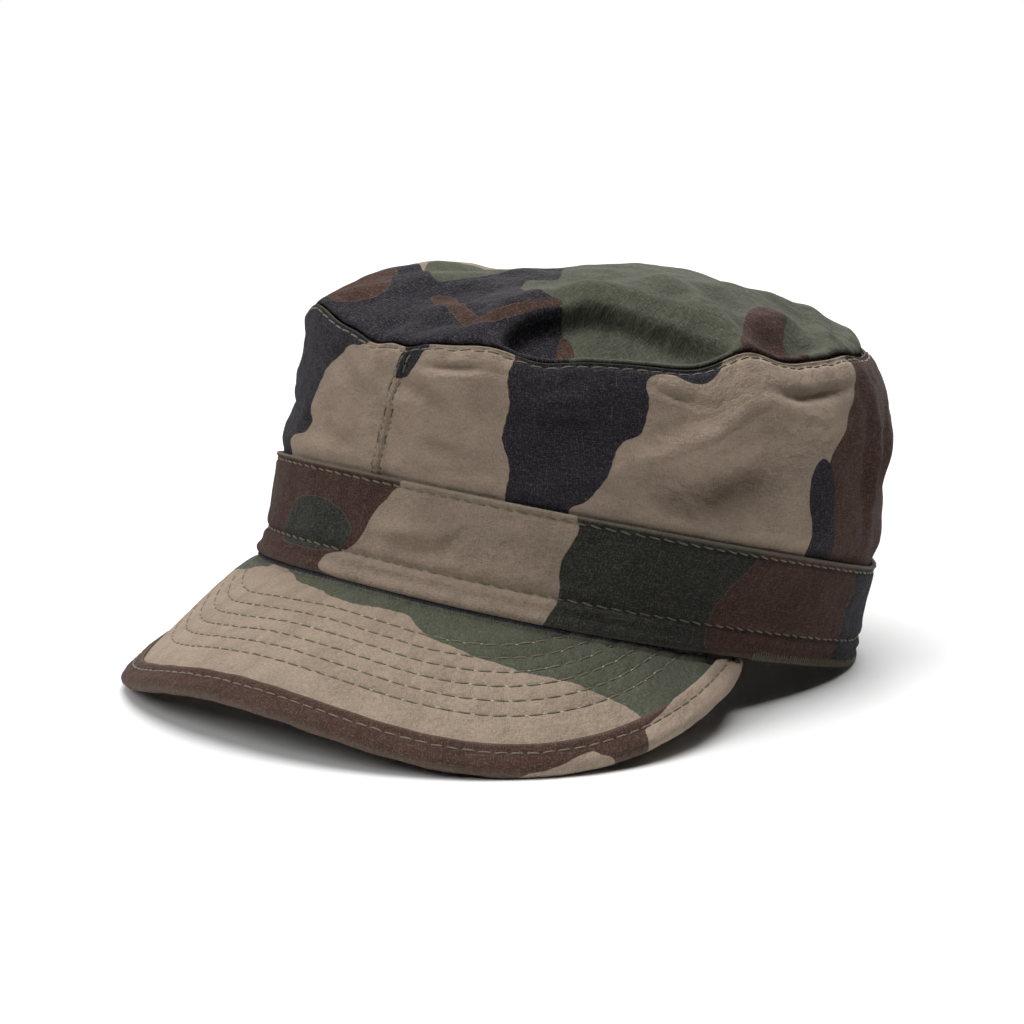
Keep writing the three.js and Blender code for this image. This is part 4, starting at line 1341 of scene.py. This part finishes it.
def relief_surface(chart, relief):
    """Points and normals of a chart with its fine relief."""
    return lambda along, across: lifted(chart, along, across, relief(along, across))


def underside(along, depth):
    points, normals = lifted(peak_middle, along, depth, -PEAK_THICKNESS / 2 + peak_relief(along, depth))
    return points, -normals


def edge_runs(length):
    """Closely spaced places along the peak's edge, as far as its rulings are this long."""
    return np.arange(run_with_length(-1, length), run_with_length(1, length), 0.6)


def peak_row(depth):
    """Places of a quilting row, as far as it stays in front of the band, and how deep it lies."""
    runs = edge_runs(depth + 1.5)
    sink = SINK + CORNER_PULL["more"] * smooth(CORNER_PULL["start"], CORNER_PULL["full"], runs)
    return {"along": runs, "across": np.full(runs.shape, depth), "pitch": PEAK_PITCH, "sink": sink}


def stitch_piece(name, rows, material="olive drab thread"):
    """One joined piece from several rows, each a set of arguments for stitch_row."""
    stitches = np.concatenate([stitch_row(**row) for row in rows])
    return add_piece(name, bead_mesh(name, stitches), [material])


class FIELDCAP_OT_stitches(bpy.types.Operator):
    """Sew every row of topstitching."""

    bl_idname = "field_cap.stitches"
    bl_label = "Stitches"

    def execute(self, context):
        sewing = context.scene.field_cap_sewing
        common = {"thread": sewing.thread / MM, "gap": sewing.gap / MM}
        wall = relief_surface(wall_chart, wall_relief)
        band = relief_surface(band_chart, band_relief)
        peak = relief_surface(peak_chart, peak_relief)
        binding = relief_surface(binding_chart, binding_relief)
        around = np.arange(-HALF_GIRTH, HALF_GIRTH, 0.8)
        level = np.full_like
        stitch_piece("crown_seam_stitches", [
            {"surface": wall, "along": around, "across": level(around, TOP_ROW), "pitch": BAND_PITCH,
             "slant": 0.06, "sink": 0.2, **common},
        ])
        up = np.arange(-5, WALL_HEIGHT - 2, 0.5)
        stitch_piece("felled_seam_stitches", [
            {"surface": wall, "along": middle + offset, "across": up, "pitch": SEAM_PITCH, **common}
            for offset in (-SEAM_ROW_OFFSET, SEAM_ROW_OFFSET)
            for middle in (front_seam(up), level(up, HALF_GIRTH))
        ])
        stitch_piece("band_stitches", [
            {"surface": band, "along": around, "across": level(around, height), "pitch": BAND_PITCH,
             "slant": -0.14, **common}
            for height in (BAND_UPPER_ROW, BAND_LOWER_ROW)
        ])
        stitch_piece("peak_stitches", [
            {"surface": side, **peak_row(depth), **common}
            for depth in PEAK_ROWS
            for side in (peak, underside)
        ])
        runs = edge_runs(BINDING_ROW + 2)
        stitch_piece("binding_stitches", [
            {"surface": binding, "along": runs, "across": level(runs, leg), "pitch": BAND_PITCH, **common}
            for leg in (BINDING_ROW, -BINDING_ROW)
        ])
        return {"FINISHED"}


class FIELDCAP_OT_knots(bpy.types.Operator):
    """Show specks of the undyed lower thread in the gaps of the peak's rows."""

    bl_idname = "field_cap.knots"
    bl_label = "Lower thread specks"

    def execute(self, context):
        peak = relief_surface(peak_chart, peak_relief)
        rows = []
        for depth in PEAK_ROWS:
            gap = PEAK_PITCH - SPECK["length"]
            row = stitch_row(peak, **peak_row(depth), thread=SPECK["thread"], gap=gap)
            row[:, 0] += unit(row[:, 3]) * PEAK_PITCH / 2
            rows.append(row[DICE.random(len(row)) < SPECK["share"]])
        mesh = bead_mesh("peak_knots", np.concatenate(rows))
        add_piece("peak_knots", mesh, ["undyed bobbin thread"])
        return {"FINISHED"}


class FIELDCAP_OT_overlock(bpy.types.Operator):
    """Overlock the band's lower edge, behind the peak, with slanting loops and a chain along the rim."""

    bl_idname = "field_cap.overlock"
    bl_label = "Overlocked edge"

    def execute(self, context):
        spacing = context.scene.field_cap_sewing.overlock / MM
        band = relief_surface(band_chart, band_relief)
        end = np.degrees(PEAK_END) * MM_PER_DEGREE
        around = np.arange(end, 2 * HALF_GIRTH - end, 0.4)
        around = (around + HALF_GIRTH) % (2 * HALF_GIRTH) - HALF_GIRTH
        up = np.full_like(around, LOOP["up"])
        loops = stitch_row(band, around, up, spacing, LOOP["thread"], gap=0.0, slant=LOOP["slant"])
        reach = LOOP["reach"] + DICE.normal(0, LOOP["spread"], (len(loops), 1))
        loops[:, 3] = unit(loops[:, 3]) * reach
        up = np.full_like(around, CHAIN["up"])
        chain = stitch_row(band, around, up, CHAIN["pitch"], CHAIN["thread"], gap=CHAIN["gap"],
                           slant=CHAIN["slant"], sink=CHAIN["sink"])
        mesh = bead_mesh("overlock", np.concatenate([loops, chain]))
        add_piece("overlock_stitches", mesh, ["overlock thread"])
        return {"FINISHED"}


# ======== Stage ========

FLOOR_HALF_WIDTH = 40.0  # metres; the paper runs on to a far horizon behind the cap
FLOOR_IN_FRONT = 0.34  # and stops this near in front, so that less light comes back up on to the cap
FLOOR_TO_RIGHT = 0.3  # and this near on the right
AIM_HEIGHT = 50  # the camera looks at a point over the cap's middle, in millimetres
AIM_LEFT = 14.8  # moved this much to the left in its own view
AIM_DOWN = 3.0

# Name, setting with its strength, azimuth, elevation and angular size in degrees.
SOFTBOXES = (
    ("overhead softbox", "key", -100, 88, 45),
    ("bright backdrop", "rear", -153, 17, 55),
    ("front softbox", "fill", -18, 42, 36),
)


def direction(azimuth, elevation):
    """Which way a place around the cap lies. Azimuth 0 is in front, and grows to the wearer's left."""
    level = np.cos(elevation)
    return Vector((np.sin(azimuth) * level, -np.cos(azimuth) * level, np.sin(elevation)))


class FIELDCAP_OT_stage(bpy.types.Operator):
    """Lay the floor, and set the light and the camera."""

    bl_idname = "field_cap.stage"
    bl_label = "Stage"

    def execute(self, context):
        settings = context.scene.field_cap_stage
        shape = bmesh.new()
        turned = Matrix.Rotation(settings.azimuth, 4, "Z")
        middle = (FLOOR_TO_RIGHT - FLOOR_HALF_WIDTH, FLOOR_HALF_WIDTH - FLOOR_IN_FRONT, 0)
        bmesh.ops.create_grid(shape, x_segments=8, y_segments=8, size=FLOOR_HALF_WIDTH,
                              matrix=turned @ Matrix.Translation(middle))
        mesh = bpy.data.meshes.new("floor")
        shape.to_mesh(mesh)
        shape.free()
        mesh.materials.append(matt_paper("white background paper", "#efefef"))
        floor = bpy.data.objects.new("floor", mesh)
        context.scene.collection.objects.link(floor)

        world = bpy.data.worlds.new("white surroundings")
        world.use_nodes = True
        tree = world.node_tree
        tree.nodes.clear()
        white = (*from_hex("#ffffff"), 1)
        seen = node(tree, "ShaderNodeLightPath").outputs["Is Camera Ray"]
        lit = node(tree, "ShaderNodeBackground", {}, {"Color": white, "Strength": settings.ambient})
        shown = node(tree, "ShaderNodeBackground", {}, {"Color": white, "Strength": 1.0})
        both = node(tree, "ShaderNodeMixShader", {}, {0: seen, 1: lit.outputs[0], 2: shown.outputs[0]})
        node(tree, "ShaderNodeOutputWorld", {}, {"Surface": both.outputs[0]})
        context.scene.world = world
        context.scene.view_settings.view_transform = "Standard"

        # Broad even lights from far off, which light the whole floor alike.
        for name, strength, azimuth, elevation, angle in SOFTBOXES:
            data = bpy.data.lights.new(name, "SUN")
            data.energy = getattr(settings, strength)
            data.angle = np.radians(angle)
            light = bpy.data.objects.new(name, data)
            toward = direction(np.radians(azimuth), np.radians(elevation))
            light.matrix_world = toward.to_track_quat("Z", "Y").to_matrix().to_4x4()
            context.scene.collection.objects.link(light)

        data = bpy.data.cameras.new("camera")
        data.lens = settings.lens
        data.sensor_width = 36
        data.clip_start, data.clip_end = 0.01, 200
        camera = bpy.data.objects.new("camera", data)
        back = direction(settings.azimuth, settings.elevation)
        right = Vector((0, 0, 1)).cross(back).normalized()
        up = back.cross(right)
        aim = (Vector(SHIFT + (0, 0, AIM_HEIGHT)) - right * AIM_LEFT - up * AIM_DOWN) * MM
        facing = Matrix((right, up, back)).transposed().to_4x4()
        camera.matrix_world = Matrix.Translation(aim + back * settings.distance) @ facing
        context.scene.collection.objects.link(camera)
        context.scene.camera = camera
        return {"FINISHED"}


class FIELDCAP_PT_panel(bpy.types.Panel):
    """Lists the cap's pieces in the sidebar."""

    bl_label = "Field Cap"
    bl_idname = "FIELDCAP_PT_panel"
    bl_space_type = "VIEW_3D"
    bl_region_type = "UI"
    bl_category = "Field Cap"

    def draw(self, context):
        for group in GROUPS:
            settings = getattr(context.scene, group)
            box = self.layout.box()
            for key in settings.__annotations__:
                box.prop(settings, key)
        for operator in OPERATORS:
            self.layout.operator(operator.bl_idname)


GROUPS = {
    "field_cap_cloth": FieldCapCloth,
    "field_cap_sewing": FieldCapSewing,
    "field_cap_stage": FieldCapStage,
}
OPERATORS = (
    FIELDCAP_OT_band,
    FIELDCAP_OT_crown_sides,
    FIELDCAP_OT_crown_top,
    FIELDCAP_OT_peak,
    FIELDCAP_OT_peak_binding,
    FIELDCAP_OT_stitches,
    FIELDCAP_OT_knots,
    FIELDCAP_OT_overlock,
    FIELDCAP_OT_stage,
)


def register():
    for name, group in GROUPS.items():
        bpy.utils.register_class(group)
        setattr(bpy.types.Scene, name, bpy.props.PointerProperty(type=group))
    for operator in OPERATORS:
        bpy.utils.register_class(operator)
    bpy.utils.register_class(FIELDCAP_PT_panel)


def unregister():
    bpy.utils.unregister_class(FIELDCAP_PT_panel)
    for operator in reversed(OPERATORS):
        bpy.utils.unregister_class(operator)
    for name, group in GROUPS.items():
        delattr(bpy.types.Scene, name)
        bpy.utils.unregister_class(group)


def main():
    register()
    bpy.ops.field_cap.band()
    bpy.ops.field_cap.crown_sides()
    bpy.ops.field_cap.crown_top()
    bpy.ops.field_cap.peak()
    bpy.ops.field_cap.peak_binding()
    bpy.ops.field_cap.stitches()
    bpy.ops.field_cap.knots()
    bpy.ops.field_cap.overlock()
    bpy.ops.field_cap.stage()


if __name__ == "__main__":
    main()
